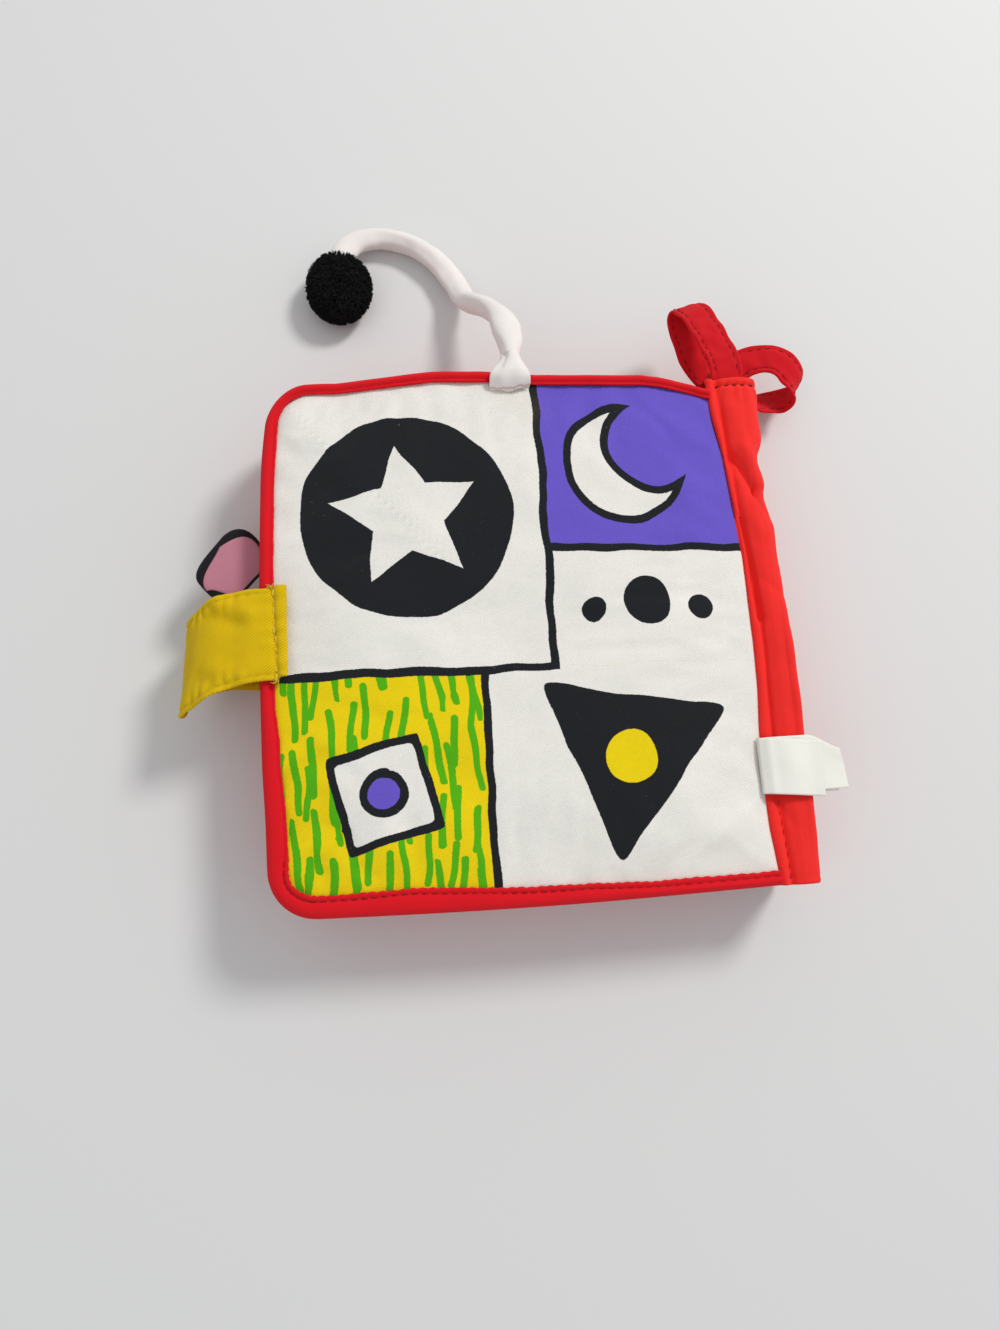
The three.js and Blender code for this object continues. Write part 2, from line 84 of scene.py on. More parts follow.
def into_scene(name, data):
    made = bpy.data.objects.new(name, data)
    bpy.context.scene.collection.objects.link(made)
    return made


def make_camera():
    data = bpy.data.cameras.new("camera")
    data.sensor_width = 36.0
    data.lens = LENS
    data.clip_start = 0.01
    camera = into_scene("camera", data)
    turn = Vector(CAMERA_TURN)
    camera.rotation_mode = "QUATERNION"
    camera.rotation_quaternion = Quaternion(turn.normalized(), turn.length)
    camera.location = Vector(CAMERA_PLACE) * MM
    bpy.context.scene.camera = camera


def make_light(name, place, target, size, power, colour):
    data = bpy.data.lights.new(name, "AREA")
    data.shape = "DISK"
    data.size = size
    data.energy = power
    data.color = colour
    lamp = into_scene(name, data)
    lamp.location = place
    lamp.rotation_mode = "QUATERNION"
    lamp.rotation_quaternion = (Vector(target) - Vector(place)).to_track_quat("-Z", "Y")


def make_stage():
    mesh = bpy.data.meshes.new("floor")
    turns = ((-1, -1), (1, -1), (1, 1), (-1, 1))
    corners = [(x * FLOOR_HALF, y * FLOOR_HALF, FLOOR_Z) for x, y in turns]
    mesh.from_pydata(corners, [], [(0, 1, 2, 3)])
    floor = into_scene("floor", mesh)
    material = bpy.data.materials.new("floor")
    material.use_nodes = True
    shader = material.node_tree.nodes["Principled BSDF"]
    shader.inputs["Base Color"].default_value = FLOOR_GREY
    shader.inputs["Roughness"].default_value = 0.9
    mesh.materials.append(material)


def make_world():
    world = bpy.data.worlds.new("studio")
    world.use_nodes = True
    back = world.node_tree.nodes["Background"]
    back.inputs["Color"].default_value = SKY
    back.inputs["Strength"].default_value = 0.55
    bpy.context.scene.world = world


make_camera()
make_world()
make_stage()
make_light("key", (0.78, 0.75, 1.04), (0.02, 0, 0.01), 0.37, 12.6, (1.0, 0.985, 0.96))
make_light("fill", (-0.45, -0.30, 0.70), (0, 0, 0.01), 0.6, 0.6, (0.95, 0.97, 1.0))
bpy.context.scene.view_settings.view_transform = "Standard"


# ---------------------------------------------------------------- fields and cloth materials

class Field:
    """A number at each point of a surface, in one material's node tree, made of Math nodes."""

    def __init__(self, tree, socket):
        self.tree = tree
        self.socket = socket

    def make(self, operation, *values):
        node = self.tree.nodes.new("ShaderNodeMath")
        node.operation = operation
        for value, socket in zip(values, node.inputs):
            if isinstance(value, Field):
                self.tree.links.new(value.socket, socket)
            else:
                socket.default_value = value
        return Field(self.tree, node.outputs[0])

    def __rsub__(self, other):
        return self.make("SUBTRACT", other, self)

    def __neg__(self):
        return self * -1.0

    def clamp(self):
        made = self + 0.0
        made.socket.node.use_clamp = True
        return made


# The operators and functions of Field that are one Math node
MATH_NODES = {"__add__": "ADD", "__radd__": "ADD", "__sub__": "SUBTRACT", "__mul__": "MULTIPLY",
              "__rmul__": "MULTIPLY", "__truediv__": "DIVIDE", "absolute": "ABSOLUTE",
              "least": "MINIMUM", "most": "MAXIMUM", "smooth_most": "SMOOTH_MAX", "floor": "FLOOR",
              "sine": "SINE", "cosine": "COSINE", "arctan2": "ARCTAN2", "root": "SQRT",
              "exceeds": "GREATER_THAN", "pingpong": "PINGPONG"}
for method, math_node in MATH_NODES.items():
    setattr(Field, method, lambda self, *others, kind=math_node: self.make(kind, self, *others))


class Cloth:
    """The node tree of one cloth material, with its places in millimetres."""

    def __init__(self, name, roughness=0.92, sheen=0.03, gloss=0.25):
        self.material = bpy.data.materials.new(name)
        self.material.use_nodes = True
        self.tree = self.material.node_tree
        self.shader = self.tree.nodes["Principled BSDF"]
        for socket, value in (("Roughness", roughness), ("Specular IOR Level", gloss),
                              ("Sheen Weight", sheen), ("Sheen Roughness", 0.6)):
            self.shader.inputs[socket].default_value = value
        self.vector = self.node("Attribute", {}, attribute_name="cloth").outputs["Vector"]
        split = self.node("SeparateXYZ", {0: self.vector})
        self.x, self.y = Field(self.tree, split.outputs[0]), Field(self.tree, split.outputs[1])

    def node(self, kind, inputs, **settings):
        """A new shader node, with a field, a node's socket, a colour or a number at each input."""
        node = self.tree.nodes.new("ShaderNode" + kind)
        for name, value in settings.items():
            setattr(node, name, value)
        for key, value in inputs.items():
            value = value.socket if isinstance(value, Field) else value
            if isinstance(value, bpy.types.NodeSocket):
                self.tree.links.new(value, node.inputs[key])
            else:
                node.inputs[key].default_value = value
        return node

    def noise(self, scale, detail=2.0, shift=0.0):
        place = (shift, shift * 1.7, shift * 0.6)
        mapping = self.node("Mapping", {"Vector": self.vector, "Location": place})
        inputs = {"Vector": mapping.outputs[0], "Scale": scale, "Detail": detail}
        return Field(self.tree, self.node("TexNoise", inputs).outputs[0])

    def random(self, a, b):
        """A number from 0 to 1 that depends on two whole numbers."""
        join = self.node("CombineXYZ", {0: a, 1: b})
        made = self.node("TexWhiteNoise", {"Vector": join.outputs[0]}, noise_dimensions="2D")
        return Field(self.tree, made.outputs["Value"])

    def mix(self, factor, low, high, **settings):
        """From low, where the factor is 0, to high, where it is 1."""
        low, high = ((*end, 1) if isinstance(end, tuple) else end for end in (low, high))
        inputs = {0: factor, 6: low, 7: high}
        return self.node("Mix", inputs, data_type="RGBA", **settings).outputs[2]

    def twill(self, pitch=0.68, slope=0.8):
        """Diagonal ribs from -1 to 1, a little uneven."""
        uneven = (self.noise(0.35, 1.0) - 0.5) * 0.5
        return (((self.y - self.x * slope) / pitch + uneven) * TURN).sine()

    def plain(self, pitch=0.45):
        """The crossings of a plain weave, from -1 to 1."""
        return (self.x * (TURN / pitch)).sine() * (self.y * (TURN / pitch)).sine()

    def finish(self, colour, weave, weave_height=0.035, crumple=0.12, contrast=0.08):
        """Joins the colour and a bump of weave and small crumples to the shader."""
        soft = self.noise(0.09, 3.0, 11.0)
        fuzz = self.noise(3.2, 2.0, 5.0)
        light = 0.97 + weave * contrast + (soft - 0.5) * 0.14 + (fuzz - 0.5) * 0.06
        grey = self.node("CombineColor", {0: light, 1: light, 2: light}).outputs[0]
        shaded = self.mix(1.0, colour, grey, blend_type="MULTIPLY")
        creases = self.noise(0.16, 4.0, 3.0)
        height = weave * weave_height + fuzz * 0.03 + creases * crumple * 2.0
        bump = self.node("Bump", {"Strength": 1.0, "Distance": MM, "Height": height})
        self.tree.links.new(shaded, self.shader.inputs["Base Color"])
        self.tree.links.new(bump.outputs[0], self.shader.inputs["Normal"])
        return self.material


def plain_cloth(name, rgb, weave="twill", pitch=0.6, crumple=0.12, roughness=0.92, sheen=0.03,
                height=0.035, slope=0.8, contrast=0.055, gloss=0.25):
    cloth = Cloth(name, roughness, sheen, gloss)
    threads = cloth.twill(pitch, slope) if weave == "twill" else cloth.plain(pitch)
    return cloth.finish(rgb, threads, height, crumple, contrast)


# ---------------------------------------------------------------- colours and prints

def srgb(red, green, blue):
    def linear(value):
        value /= 255
        return value / 12.92 if value <= 0.04045 else ((value + 0.055) / 1.055) ** 2.4
    return linear(red), linear(green), linear(blue)


WHITE = srgb(246, 243, 235)
BLACK = srgb(25, 27, 31)
PURPLE = srgb(110, 90, 206)
YELLOW = srgb(248, 219, 0)
GREEN = srgb(86, 186, 4)
RED_BINDING = srgb(224, 12, 28)
RED_SPINE = srgb(249, 44, 38)
STRAP_YELLOW = srgb(222, 185, 0)
PINK = srgb(196, 130, 146)
PALE_GREY = srgb(196, 190, 184)
TAIL = srgb(241, 234, 229)
SEAM_PINK = srgb(196, 120, 112)
LABEL = srgb(243, 242, 232)
STAIN = srgb(150, 120, 80)
INK_EDGE = 0.16
OUTLINE_WIDTH = 2.3


def inside(distance, edge=INK_EDGE):
    """1 where a signed distance is negative and 0 where it is positive."""
    return (0.5 - distance / edge).clamp()


def length2(a, b):
    return (a * a + b * b).root()


def disc(x, y, centre, radius):
    return length2(x - centre[0], y - centre[1]) - radius


def polygon(x, y, centre, sides, radius, degrees, rounding=0.0):
    """Signed distance to a regular polygon, as the greatest of its edges' distances."""
    edges = []
    for k in range(sides):
        angle = math.radians(degrees + 360 * k / sides)
        c, s = math.cos(angle), math.sin(angle)
        edges.append((x - centre[0]) * c + (y - centre[1]) * s - radius)
    return reduce(lambda a, b: a.smooth_most(b, rounding), edges)


def side_of(x, y, start, end):
    """Signed distance to the line through two points."""
    ex, ey = end[0] - start[0], end[1] - start[1]
    return ((x - start[0]) * ey - (y - start[1]) * ex) * (1 / math.hypot(ex, ey))


def star(x, y, centre, points, outer, inner, degrees):
    """Signed distance to a star, folded onto half of one of its points."""
    c, s = math.cos(math.radians(degrees)), math.sin(math.radians(degrees))
    dx, dy = x - centre[0], y - centre[1]
    dx, dy = dx * c + dy * s, dy * c - dx * s
    half = math.pi / points
    fold = dy.arctan2(dx).pingpong(half)
    r = length2(dx, dy)
    notch = (inner * math.cos(half), inner * math.sin(half))
    return side_of(r * fold.cosine(), r * fold.sine(), (outer, 0.0), notch)


def strokes(cloth, x, y, pitch=4.7, row=19.0, width=0.95, shift=0.0, rare=0.12):
    """Brush strokes of uneven length and slant, standing side by side."""
    column = (x / pitch + shift).floor()
    lifted = y + cloth.random(column, column * 0.0 + 7.0 + shift) * row
    line = (lifted / row).floor()
    chance = cloth.random(column, line)
    lean = cloth.random(column + 31.0, line)
    lx = x - (column + (0.5 - shift)) * pitch
    ly = lifted - (line + 0.5) * row
    wave = (ly * 0.35 + chance * 6.0).sine() * 0.2
    slanted = lx + (chance - 0.5) * 2.0 + ly * (lean - 0.5) * 0.30 + wave
    beyond = (ly.absolute() - (5.2 + lean * 3.6)).most(0.0)
    skipped = (rare - chance).exceeds(0.0) * 9.0
    return length2(slanted, beyond) - width + skipped


def hand_drawn(cloth, amount=1.3, rough=0.28):
    """The cloth's x and y with the wobble of a drawn line."""
    def wobble(broad, fine):
        wide = (cloth.noise(0.07, 1.0, broad) - 0.5) * (2 * amount)
        return wide + (cloth.noise(1.1, 1.0, fine) - 0.5) * rough
    return cloth.x + wobble(2.0, 8.0), cloth.y + wobble(23.0, 41.0)


def ink(cloth, ground, distance, colour, outlined=True):
    """Paints a shape over the ground, with a black line along its edge."""
    shown = cloth.mix(inside(distance), ground, colour)
    if outlined:
        shown = cloth.mix(inside(distance.absolute() - OUTLINE_WIDTH / 2), shown, BLACK)
    return shown


def lint(cloth, colour):
    """Pale specks of lint, which show on the dark ink."""
    specks = ((cloth.noise(1.7, 3.0, 17.0) - 0.70) * 9.0).clamp()
    patches = ((cloth.noise(0.06, 1.0, 29.0) - 0.45) * 4.0).clamp()
    return cloth.mix(specks * patches * 0.38, colour, WHITE)


def cover_print():
    """The patchwork of shapes printed on the outside of both covers."""
    cloth = Cloth("cover_print")
    x, y = hand_drawn(cloth)
    across, right, low_left, moon_foot = -12.0, 12.0, -8.0, 22.0
    blades = strokes(cloth, x, y).least(strokes(cloth, x, y, 6.3, 23.0, 0.9, 0.37, 0.45))
    shown = cloth.mix(inside(blades), YELLOW, GREEN)
    for area, colour in ((across - y, WHITE), ((low_left - x).most(y - across), WHITE),
                         ((right - x).most(moon_foot - y), PURPLE)):
        shown = cloth.mix(inside(area), shown, colour)
    three = (((40.0, 6.0), 7.0), ((24.0, 4.0), 3.6), ((56.0, 4.0), 3.6))
    dots = reduce(Field.least, [disc(x, y, *dot) for dot in three])
    for shape, colour, outlined in (
            (disc(x, y, (-27.0, 33.0), 30.0), BLACK, False),
            (star(x, y, (-27.0, 33.0), 5, 22.0, 10.5, 97.0), WHITE, False),
            (disc(x, y, (37.0, 48.0), 17.5).most(-disc(x, y, (46.0, 54.0), 14.5)), WHITE, True),
            (polygon(x, y, (31.0, -36.0), 3, 15.5, 80.0, 5.0), BLACK, False),
            (disc(x, y, (31.0, -37.5), 7.2), YELLOW, False),
            (polygon(x, y, (-36.0, -44.0), 4, 12.0, 14.0, 2.0), WHITE, True),
            (disc(x, y, (-36.0, -44.0), 5.0), PURPLE, True),
            (dots, BLACK, False)):
        shown = ink(cloth, shown, shape, colour, outlined)
    lines = [(y - across).absolute().most(x - right), (y - moon_foot).absolute().most(right - x),
             (x - right).absolute().most(across - y), (x - low_left).absolute().most(y - across)]
    shown = cloth.mix(inside(reduce(Field.least, lines) - OUTLINE_WIDTH / 2), shown, BLACK)
    stain = disc(x, y, (8.0, 66.0), 3.0) + (cloth.noise(0.2, 2.0, 61.0) - 0.5) * 12.0
    shown = cloth.mix(inside(stain, 14.0) * 0.16, shown, STAIN)
    return cloth.finish(lint(cloth, shown), cloth.twill(), 0.06)


def page_print(name, ground, shape, colour, centre):
    """One large plain shape on a plain ground."""
    cloth = Cloth(name)
    x, y = hand_drawn(cloth)
    if shape == "star":
        distance = star(x, y, centre, 5, 38.0, 18.0, 90.0)
    elif shape == "disc":
        distance = disc(x, y, centre, 32.0)
    elif shape == "moon":
        bite = (centre[0] + 20.0, centre[1] + 8.0)
        distance = disc(x, y, centre, 36.0).most(-disc(x, y, bite, 31.0))
    else:
        distance = polygon(x, y, centre, {"triangle": 3, "square": 4}[shape], 24.0, 90.0, 5.0)
    shown = ink(cloth, ground, distance, colour)
    return cloth.finish(lint(cloth, shown), cloth.twill())


# ---------------------------------------------------------------- meshes


def bell(distance, width):
    """1 at no distance, falling off smoothly within about the width."""
    return np.exp(-(distance / width) ** 2)


def beat(distance, pitch):
    """0 to 1 to 0 over each pitch, 1 at distance 0."""
    return 0.5 + 0.5 * np.cos(TURN * distance / pitch)


def ramp(value, low, high):
    t = np.clip((value - low) / (high - low), 0, 1)
    return t * t * (3 - 2 * t)


def smooth_interp(values, table):
    """Linear interpolation with its corners rounded off."""
    return sum(np.interp(values + shift, *table) for shift in (-2, -1, 0, 1, 2)) / 5


def nearest(values, target):
    return int(np.argmin(np.abs(values - target)))


def pair_grid(low_u, high_u, rows, low_v, high_v, columns):
    """Two grids of rows by columns: even steps down the rows, and even steps along the columns."""
    steps = np.linspace(low_u, high_u, rows), np.linspace(low_v, high_v, columns)
    return np.meshgrid(*steps, indexing="ij")


def axes(points):
    """Views of the x, the y and the z of an array of points."""
    return points[..., 0], points[..., 1], points[..., 2]


def flat_places(s, t):
    return np.stack([s, t, np.zeros_like(s)], -1)


def wander(x, y, z, size):
    """Smooth noise from -1 to 1 with features of about the given size in millimetres."""
    return noise.noise(Vector((x / size, y / size, z / size)))


wander_over = np.vectorize(wander, otypes=[float])


def unit(vectors):
    return vectors / np.maximum(np.linalg.norm(vectors, axis=-1, keepdims=True), 1e-9)


def add_mesh(name, points, faces, materials, cloth_places, body=None, face_slots=None):
    """A smooth mesh from points in millimetres, with each point's place on its flat cloth."""
    mesh = bpy.data.meshes.new(name)
    mesh.from_pydata((np.asarray(points, float) * MM).tolist(), [], faces)
    for material in materials:
        mesh.materials.append(material)
    if face_slots is not None:
        mesh.polygons.foreach_set("material_index", face_slots)
    mesh.polygons.foreach_set("use_smooth", [True] * len(mesh.polygons))
    places = mesh.attributes.new("cloth", "FLOAT_VECTOR", "POINT")
    places.data.foreach_set("vector", np.asarray(cloth_places, np.float32).reshape(-1))
    mesh.update()
    piece = into_scene(name, mesh)
    if body:
        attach(piece, body)
    return piece


def grid_faces(rows, columns, closed_columns=False, start=0):
    """Quads over a grid of points that are stored row by row."""
    faces = []
    for i in range(rows - 1):
        for j in range(columns if closed_columns else columns - 1):
            a, b = start + i * columns, start + (i + 1) * columns
            c, d = j, (j + 1) % columns
            faces.append((a + c, b + c, b + d, a + d))
    return faces


def shell_faces(rows, columns):
    """Faces of a closed body: an upper grid, a lower grid stored after it, and their border."""
    count = rows * columns
    faces = grid_faces(rows, columns)
    faces += [face[::-1] for face in grid_faces(rows, columns, start=count)]
    numbers = np.arange(count).reshape(rows, columns)
    border = [numbers[:-1, 0], numbers[-1, :-1], numbers[:0:-1, -1], numbers[0, :0:-1]]
    at = np.concatenate(border).tolist()
    return faces + [(a, a + count, b + count, b) for a, b in zip(at, at[1:] + at[:1])]


def outward(piece):
    """Turns the faces of a closed mesh outwards."""
    work = bmesh.new()
    work.from_mesh(piece.data)
    bmesh.ops.recalc_face_normals(work, faces=work.faces)
    work.to_mesh(piece.data)
    work.free()


def subdivide(piece):
    modifier = piece.modifiers.new("smooth", "SUBSURF")
    modifier.levels = modifier.render_levels = 1
    depsgraph = bpy.context.evaluated_depsgraph_get()
    made = bpy.data.meshes.new_from_object(piece.evaluated_get(depsgraph), depsgraph=depsgraph,
                                           preserve_all_data_layers=True)
    piece.modifiers.clear()
    old, piece.data = piece.data, made
    bpy.data.meshes.remove(old)


def loft(name, sections, places, material, body):
    """A closed body through sections of equal count, capped with a fan at both ends."""
    sections = np.asarray(sections, float)
    rows, columns = sections.shape[:2]
    faces = grid_faces(rows, columns, closed_columns=True)
    points = sections.reshape(-1, 3).tolist()
    spots = np.asarray(places, float).reshape(-1, 3).tolist()
    for row, order in ((0, 1), (rows - 1, -1)):
        first = row * columns
        points.append(sections[row].mean(0).tolist())
        spots.append(spots[first])
        hub = len(points) - 1
        for j in range(columns):
            pair = (first + j, first + (j + 1) % columns)
            faces.append((hub, *pair[::order]))
    piece = add_mesh(name, points, faces, [material], spots, body)
    outward(piece)
    return piece


def surface_normals(grid):
    return unit(np.cross(np.gradient(grid, axis=0), np.gradient(grid, axis=1)))


def edge_taper(rows, columns, least=0.35):
    """A share of the thickness: 1 inside and less on the border, so that edges look rounded."""
    i, j = np.meshgrid(np.arange(rows), np.arange(columns), indexing="ij")
    off = np.minimum(np.minimum(i, rows - 1 - i), np.minimum(j, columns - 1 - j))
    return np.clip(least + (1 - least) * off, 0, 1)


def sheet_piece(name, middle, half, material, places, body, up=None, smooth=True):
    """A closed thin piece of the given half thickness about a grid of middle points."""
    rows, columns = middle.shape[:2]
    normal = surface_normals(middle)
    if up is not None and (normal * np.asarray(up, float)).sum(-1).mean() < 0:
        normal = -normal
    half = np.broadcast_to(half, (rows, columns))[..., None]
    points = np.stack([middle + normal * half, middle - normal * half]).reshape(-1, 3)
    spots = np.stack([places, places]).reshape(-1, 3)
    piece = add_mesh(name, points, shell_faces(rows, columns), [material], spots, body)
    outward(piece)
    if smooth:
        subdivide(piece)
    return piece


def smooth_line(points, samples, closeness=12):
    """Catmull-Rom through the points, resampled at even distances, and its length."""
    p = np.asarray(points, float)
    p = np.concatenate([[2 * p[0] - p[1]], p, [2 * p[-1] - p[-2]]])
    fine = []
    for a, b, c, d in zip(p, p[1:], p[2:], p[3:]):
        for k in range(closeness):
            t = k / closeness
            fine.append(0.5 * (2 * b + (c - a) * t + (2 * a - 5 * b + 4 * c - d) * t * t
                               + (3 * b - a - 3 * c + d) * t ** 3))
    fine.append(p[-2])
    fine = np.array(fine)
    steps = np.concatenate([[0], np.cumsum(np.linalg.norm(np.diff(fine[:, :3], axis=0), axis=1))])
    even = np.linspace(0, steps[-1], samples)
    return np.stack([np.interp(even, steps, column) for column in fine.T], 1), steps[-1]


STITCH_SIDES = 6
STITCH_RINGS = ((-1.0, 0.05), (-0.86, 0.7), (-0.5, 1.0), (0.5, 1.0), (0.86, 0.7), (1.0, 0.05))


def stitches(name, places, material, body, length, radius):
    """Short rounded threads. Each place is a point, the way along the seam and the way up."""
    points, faces, spots = [], [], []
    for place, along, up in places:
        along = np.asarray(along, float) / np.linalg.norm(along)
        side = np.cross(along, up)
        side /= np.linalg.norm(side)
        up = np.cross(side, along)
        start = len(points)
        for t, r in STITCH_RINGS:
            sag = -0.9 * radius * t * t
            for k in range(STITCH_SIDES):
                angle = TURN * k / STITCH_SIDES
                ring = radius * r * (math.cos(angle) * side + math.sin(angle) * up)
                points.append(np.asarray(place) + along * (t * length / 2) + up * sag + ring)
                spots.append((t * 3.0, angle, place[0]))
        faces += grid_faces(len(STITCH_RINGS), STITCH_SIDES, closed_columns=True, start=start)
        last = start + (len(STITCH_RINGS) - 1) * STITCH_SIDES
        faces += [tuple(start + k for k in range(STITCH_SIDES)),
                  tuple(last + k for k in reversed(range(STITCH_SIDES)))]
    return add_mesh(name, points, faces, [material], spots, body)


# ---------------------------------------------------------------- the leaf's outline

def leaf_outline(step):
    """The leaf's edge from the spine at the head, round the fore edge, to the spine at the tail.

    Gives points, the ways inward, the ways along and the distance along."""
    x, y, r = SEAM_X, HALF_LENGTH, CORNER
    points = []

    def straight(start, end, bulge):
        count = max(int(math.dist(start, end) / step), 2)
        for i in range(count):
            t = i / count
            bow = EDGE_BOW * math.sin(math.pi * t)
            points.append([a + (b - a) * t + way * bow for a, b, way in zip(start, end, bulge)])

    def bend(centre, start_angle):
        count = int(math.pi / 2 * r / step)
        for i in range(count):
            angle = start_angle + math.pi / 2 * i / count
            points.append((centre[0] + r * math.cos(angle), centre[1] + r * math.sin(angle)))

    straight((x, y), (-x + r, y), (0, 1))
    bend((-x + r, y - r), math.pi / 2)
    straight((-x, y - r), (-x, -y + r), (-1, 0))
    bend((-x + r, -y + r), math.pi)
    straight((-x + r, -y), (x, -y), (0, -1))
    points.append((x, -y))
    points = np.array(points)
    for _ in range(6):
        points[1:-1] = (points[:-2] + points[2:] + 2 * points[1:-1]) / 4
    along = np.gradient(points, axis=0)
    along /= np.linalg.norm(along, axis=1)[:, None]
    inward = np.stack([-along[:, 1], along[:, 0]], 1)
    steps = np.linalg.norm(np.diff(points, axis=0), axis=1)
    return points, inward, along, np.concatenate([[0], np.cumsum(steps)])


def puff(inset):
    """Half the thickness of a padded leaf at a distance in from its edge."""
    left = 1 - np.clip(np.asarray(inset, float) / CROWN_RUN, 0, 1)
    return EDGE_HALF + (CROWN_HALF - EDGE_HALF) * (1 - left * left)


# How far the back cover's head edge lies out from the straight line in the photograph
HEAD_BOW = ([-67, -56, -46, -36, -27, -18, -4, 5, 13, 29, 45, 50, 54, 60.6, 63.6, 67],
            [0, 0, -0.2, 0.9, 2.0, 2.9, 2.8, 2.2, 1.6, 1.6, 1.8, 1.3, 0.5, -1.0, -2.0, -2.6])
# Where the spine's seam lies on the back cover, by the place along the spine
SPINE_SEAM = ([-76, -73, -60, -46, -33, -20, -8, 0, 19, 32, 44, 51, 59, 65, 76],
              [70.5, 70.3, 69.1, 68.9, 69.4, 70.6, 70.9, 70.9, 70.8, 69.9, 68.9, 68.4, 67.1,
               66.1, 65.7])
# Where the dark crease runs behind the spine's seam
SPINE_CREASE = ([-76, -68, -56, -30, -8, 2, 12, 19, 29, 51, 64, 76],
                [73.3, 73.1, 72.3, 72.9, 73.7, 73.5, 73.0, 72.5, 71.5, 70.1, 69.0, 68.4])
CLOTH_END = 65.8


def drape(points):
    """The back cover as it lies: its head edge bulges and rises, and its spine seam wanders."""
    points = np.array(points, float)
    x, y, z = axes(points)
    x += (smooth_interp(y, SPINE_SEAM) + 0.3 - CLOTH_END) * ramp(x, 38, CLOTH_END)
    outwards = 0.8 * (1 - ramp(x, -75, -60)) * ramp(y, -52, -34) * (1 - ramp(y, 44, 62))
    corner = 1.3 * np.exp(-((x + 72) ** 2 + (y - 72) ** 2) / 12.0 ** 2)
    x -= outwards
    x += corner
    y -= corner
    bow = np.interp(x, *HEAD_BOW)
    near = ramp(y, 44, 74)
    y += near * np.where(bow > 0, 0.74 * bow, bow)
    z += near * np.maximum(0.45 * bow, 0)
    return points


def fold(x, y, start, end, width):
    """A soft ridge from 0 to 1 along a line, fading to its ends."""
    sx, sy = start
    ex, ey = end[0] - sx, end[1] - sy
    size = math.hypot(ex, ey)
    t = ((x - sx) * ex + (y - sy) * ey) / size ** 2
    off = ((x - sx) * ey - (y - sy) * ex) / size
    beyond = np.clip(np.abs(t - 0.5) - 0.5, 0, None) * size
    return np.exp(-(off / width) ** 2 - (beyond / width) ** 2)


def folds(x, y, table):
    """The sum of folds, each given by its height, its start, its end and its width."""
    return sum(height * fold(x, y, start, end, width) for height, start, end, width in table)


# ---------------------------------------------------------------- padded leaves

PAD_COLUMNS, PAD_ROWS = 74, 82
PAD_COUNT = (PAD_COLUMNS + 1) * (PAD_ROWS + 1)
PAD_REACH = 71
CREASE_LIMITS = (-0.45, 0.05)
BACK_CREASE_LIMITS = (-0.5, 0.9)
SIMULATED_STEPS = 20
# The middle of the loop patch under the front cover
PATCH_X = -52.7


def pad_grid():
    """A grid over the leaf: x, y, and how far in from the edge each point is."""
    seam = np.stack([np.full(60, SEAM_X), np.linspace(-HALF_LENGTH, HALF_LENGTH, 60)], 1)
    ring = np.concatenate([leaf_outline(0.5)[0], seam])
    angles = np.arctan2(ring[:, 1], ring[:, 0])
    order = np.argsort(angles)
    angles, radii = angles[order], np.linalg.norm(ring, axis=1)[order]
    u, v = pair_grid(-1, 1, PAD_COLUMNS + 1, -1, 1, PAD_ROWS + 1)
    x, y = u * SEAM_X, v * HALF_LENGTH
    theta = np.arctan2(y, x)
    reach = np.interp(theta, angles, radii, period=TURN)
    box = 1 / np.maximum(np.abs(np.cos(theta)) / SEAM_X, np.abs(np.sin(theta)) / HALF_LENGTH)
    scale = reach / box
    size = np.maximum(np.abs(u), np.abs(v))
    keep = 1 - CLOTH_INSET / PAD_REACH
    return x * scale * keep, y * scale * keep, CLOTH_INSET + (1 - size) * PAD_REACH


def simulate_pad(points, faces, inset):
    """Lets the pad's cloth settle over its wadding and gives how far each point moved."""
    mesh = bpy.data.meshes.new("pad_trial")
    mesh.from_pydata((points * MM).tolist(), [], faces)
    piece = into_scene("pad_trial", mesh)
    held = piece.vertex_groups.new(name="held")
    held.add(np.where(np.concatenate([inset.reshape(-1)] * 2) < 4.2)[0].tolist(), 1.0, "REPLACE")
    modifier = piece.modifiers.new("cloth", "CLOTH")
    for name, value in (("quality", 5), ("mass", 0.02), ("tension_stiffness", 15),
                        ("compression_stiffness", 15), ("shear_stiffness", 6),
                        ("bending_stiffness", 0.2), ("use_pressure", True),
                        ("uniform_pressure_force", 4.0), ("vertex_group_mass", "held"),
                        ("shrink_min", -0.012)):
        setattr(modifier.settings, name, value)
    modifier.settings.effector_weights.gravity = 0
    modifier.collision_settings.use_collision = False
    scene = bpy.context.scene
    for number in range(1, SIMULATED_STEPS + 1):
        scene.frame_set(number)
    moved = piece.evaluated_get(bpy.context.evaluated_depsgraph_get()).to_mesh()
    places = np.zeros(len(moved.vertices) * 3)
    moved.vertices.foreach_get("co", places)
    shift = places.reshape(-1, 3) / MM - points
    scene.frame_set(1)
    bpy.data.objects.remove(piece)
    return shift


def smooth_grid(values, passes):
    for _ in range(passes):
        padded = np.pad(values, 1, mode="edge")
        values = (padded[:-2, 1:-1] + padded[2:, 1:-1] + padded[1:-1, :-2] + padded[1:-1, 2:]) / 4
    return values


def settle(points, shift, upper_limits):
    """Keeps the creases of the simulated cloth within the limits, without its overall swelling."""
    made = points.copy()
    for side, start, limits in ((1, 0, upper_limits), (-1, PAD_COUNT, CREASE_LIMITS)):
        lift = shift[start:start + PAD_COUNT, 2].reshape(PAD_COLUMNS + 1, PAD_ROWS + 1) * side
        creases = lift - smooth_grid(lift, 90)
        made[start:start + PAD_COUNT, 2] += side * np.clip(creases.reshape(-1), *limits)
    return made


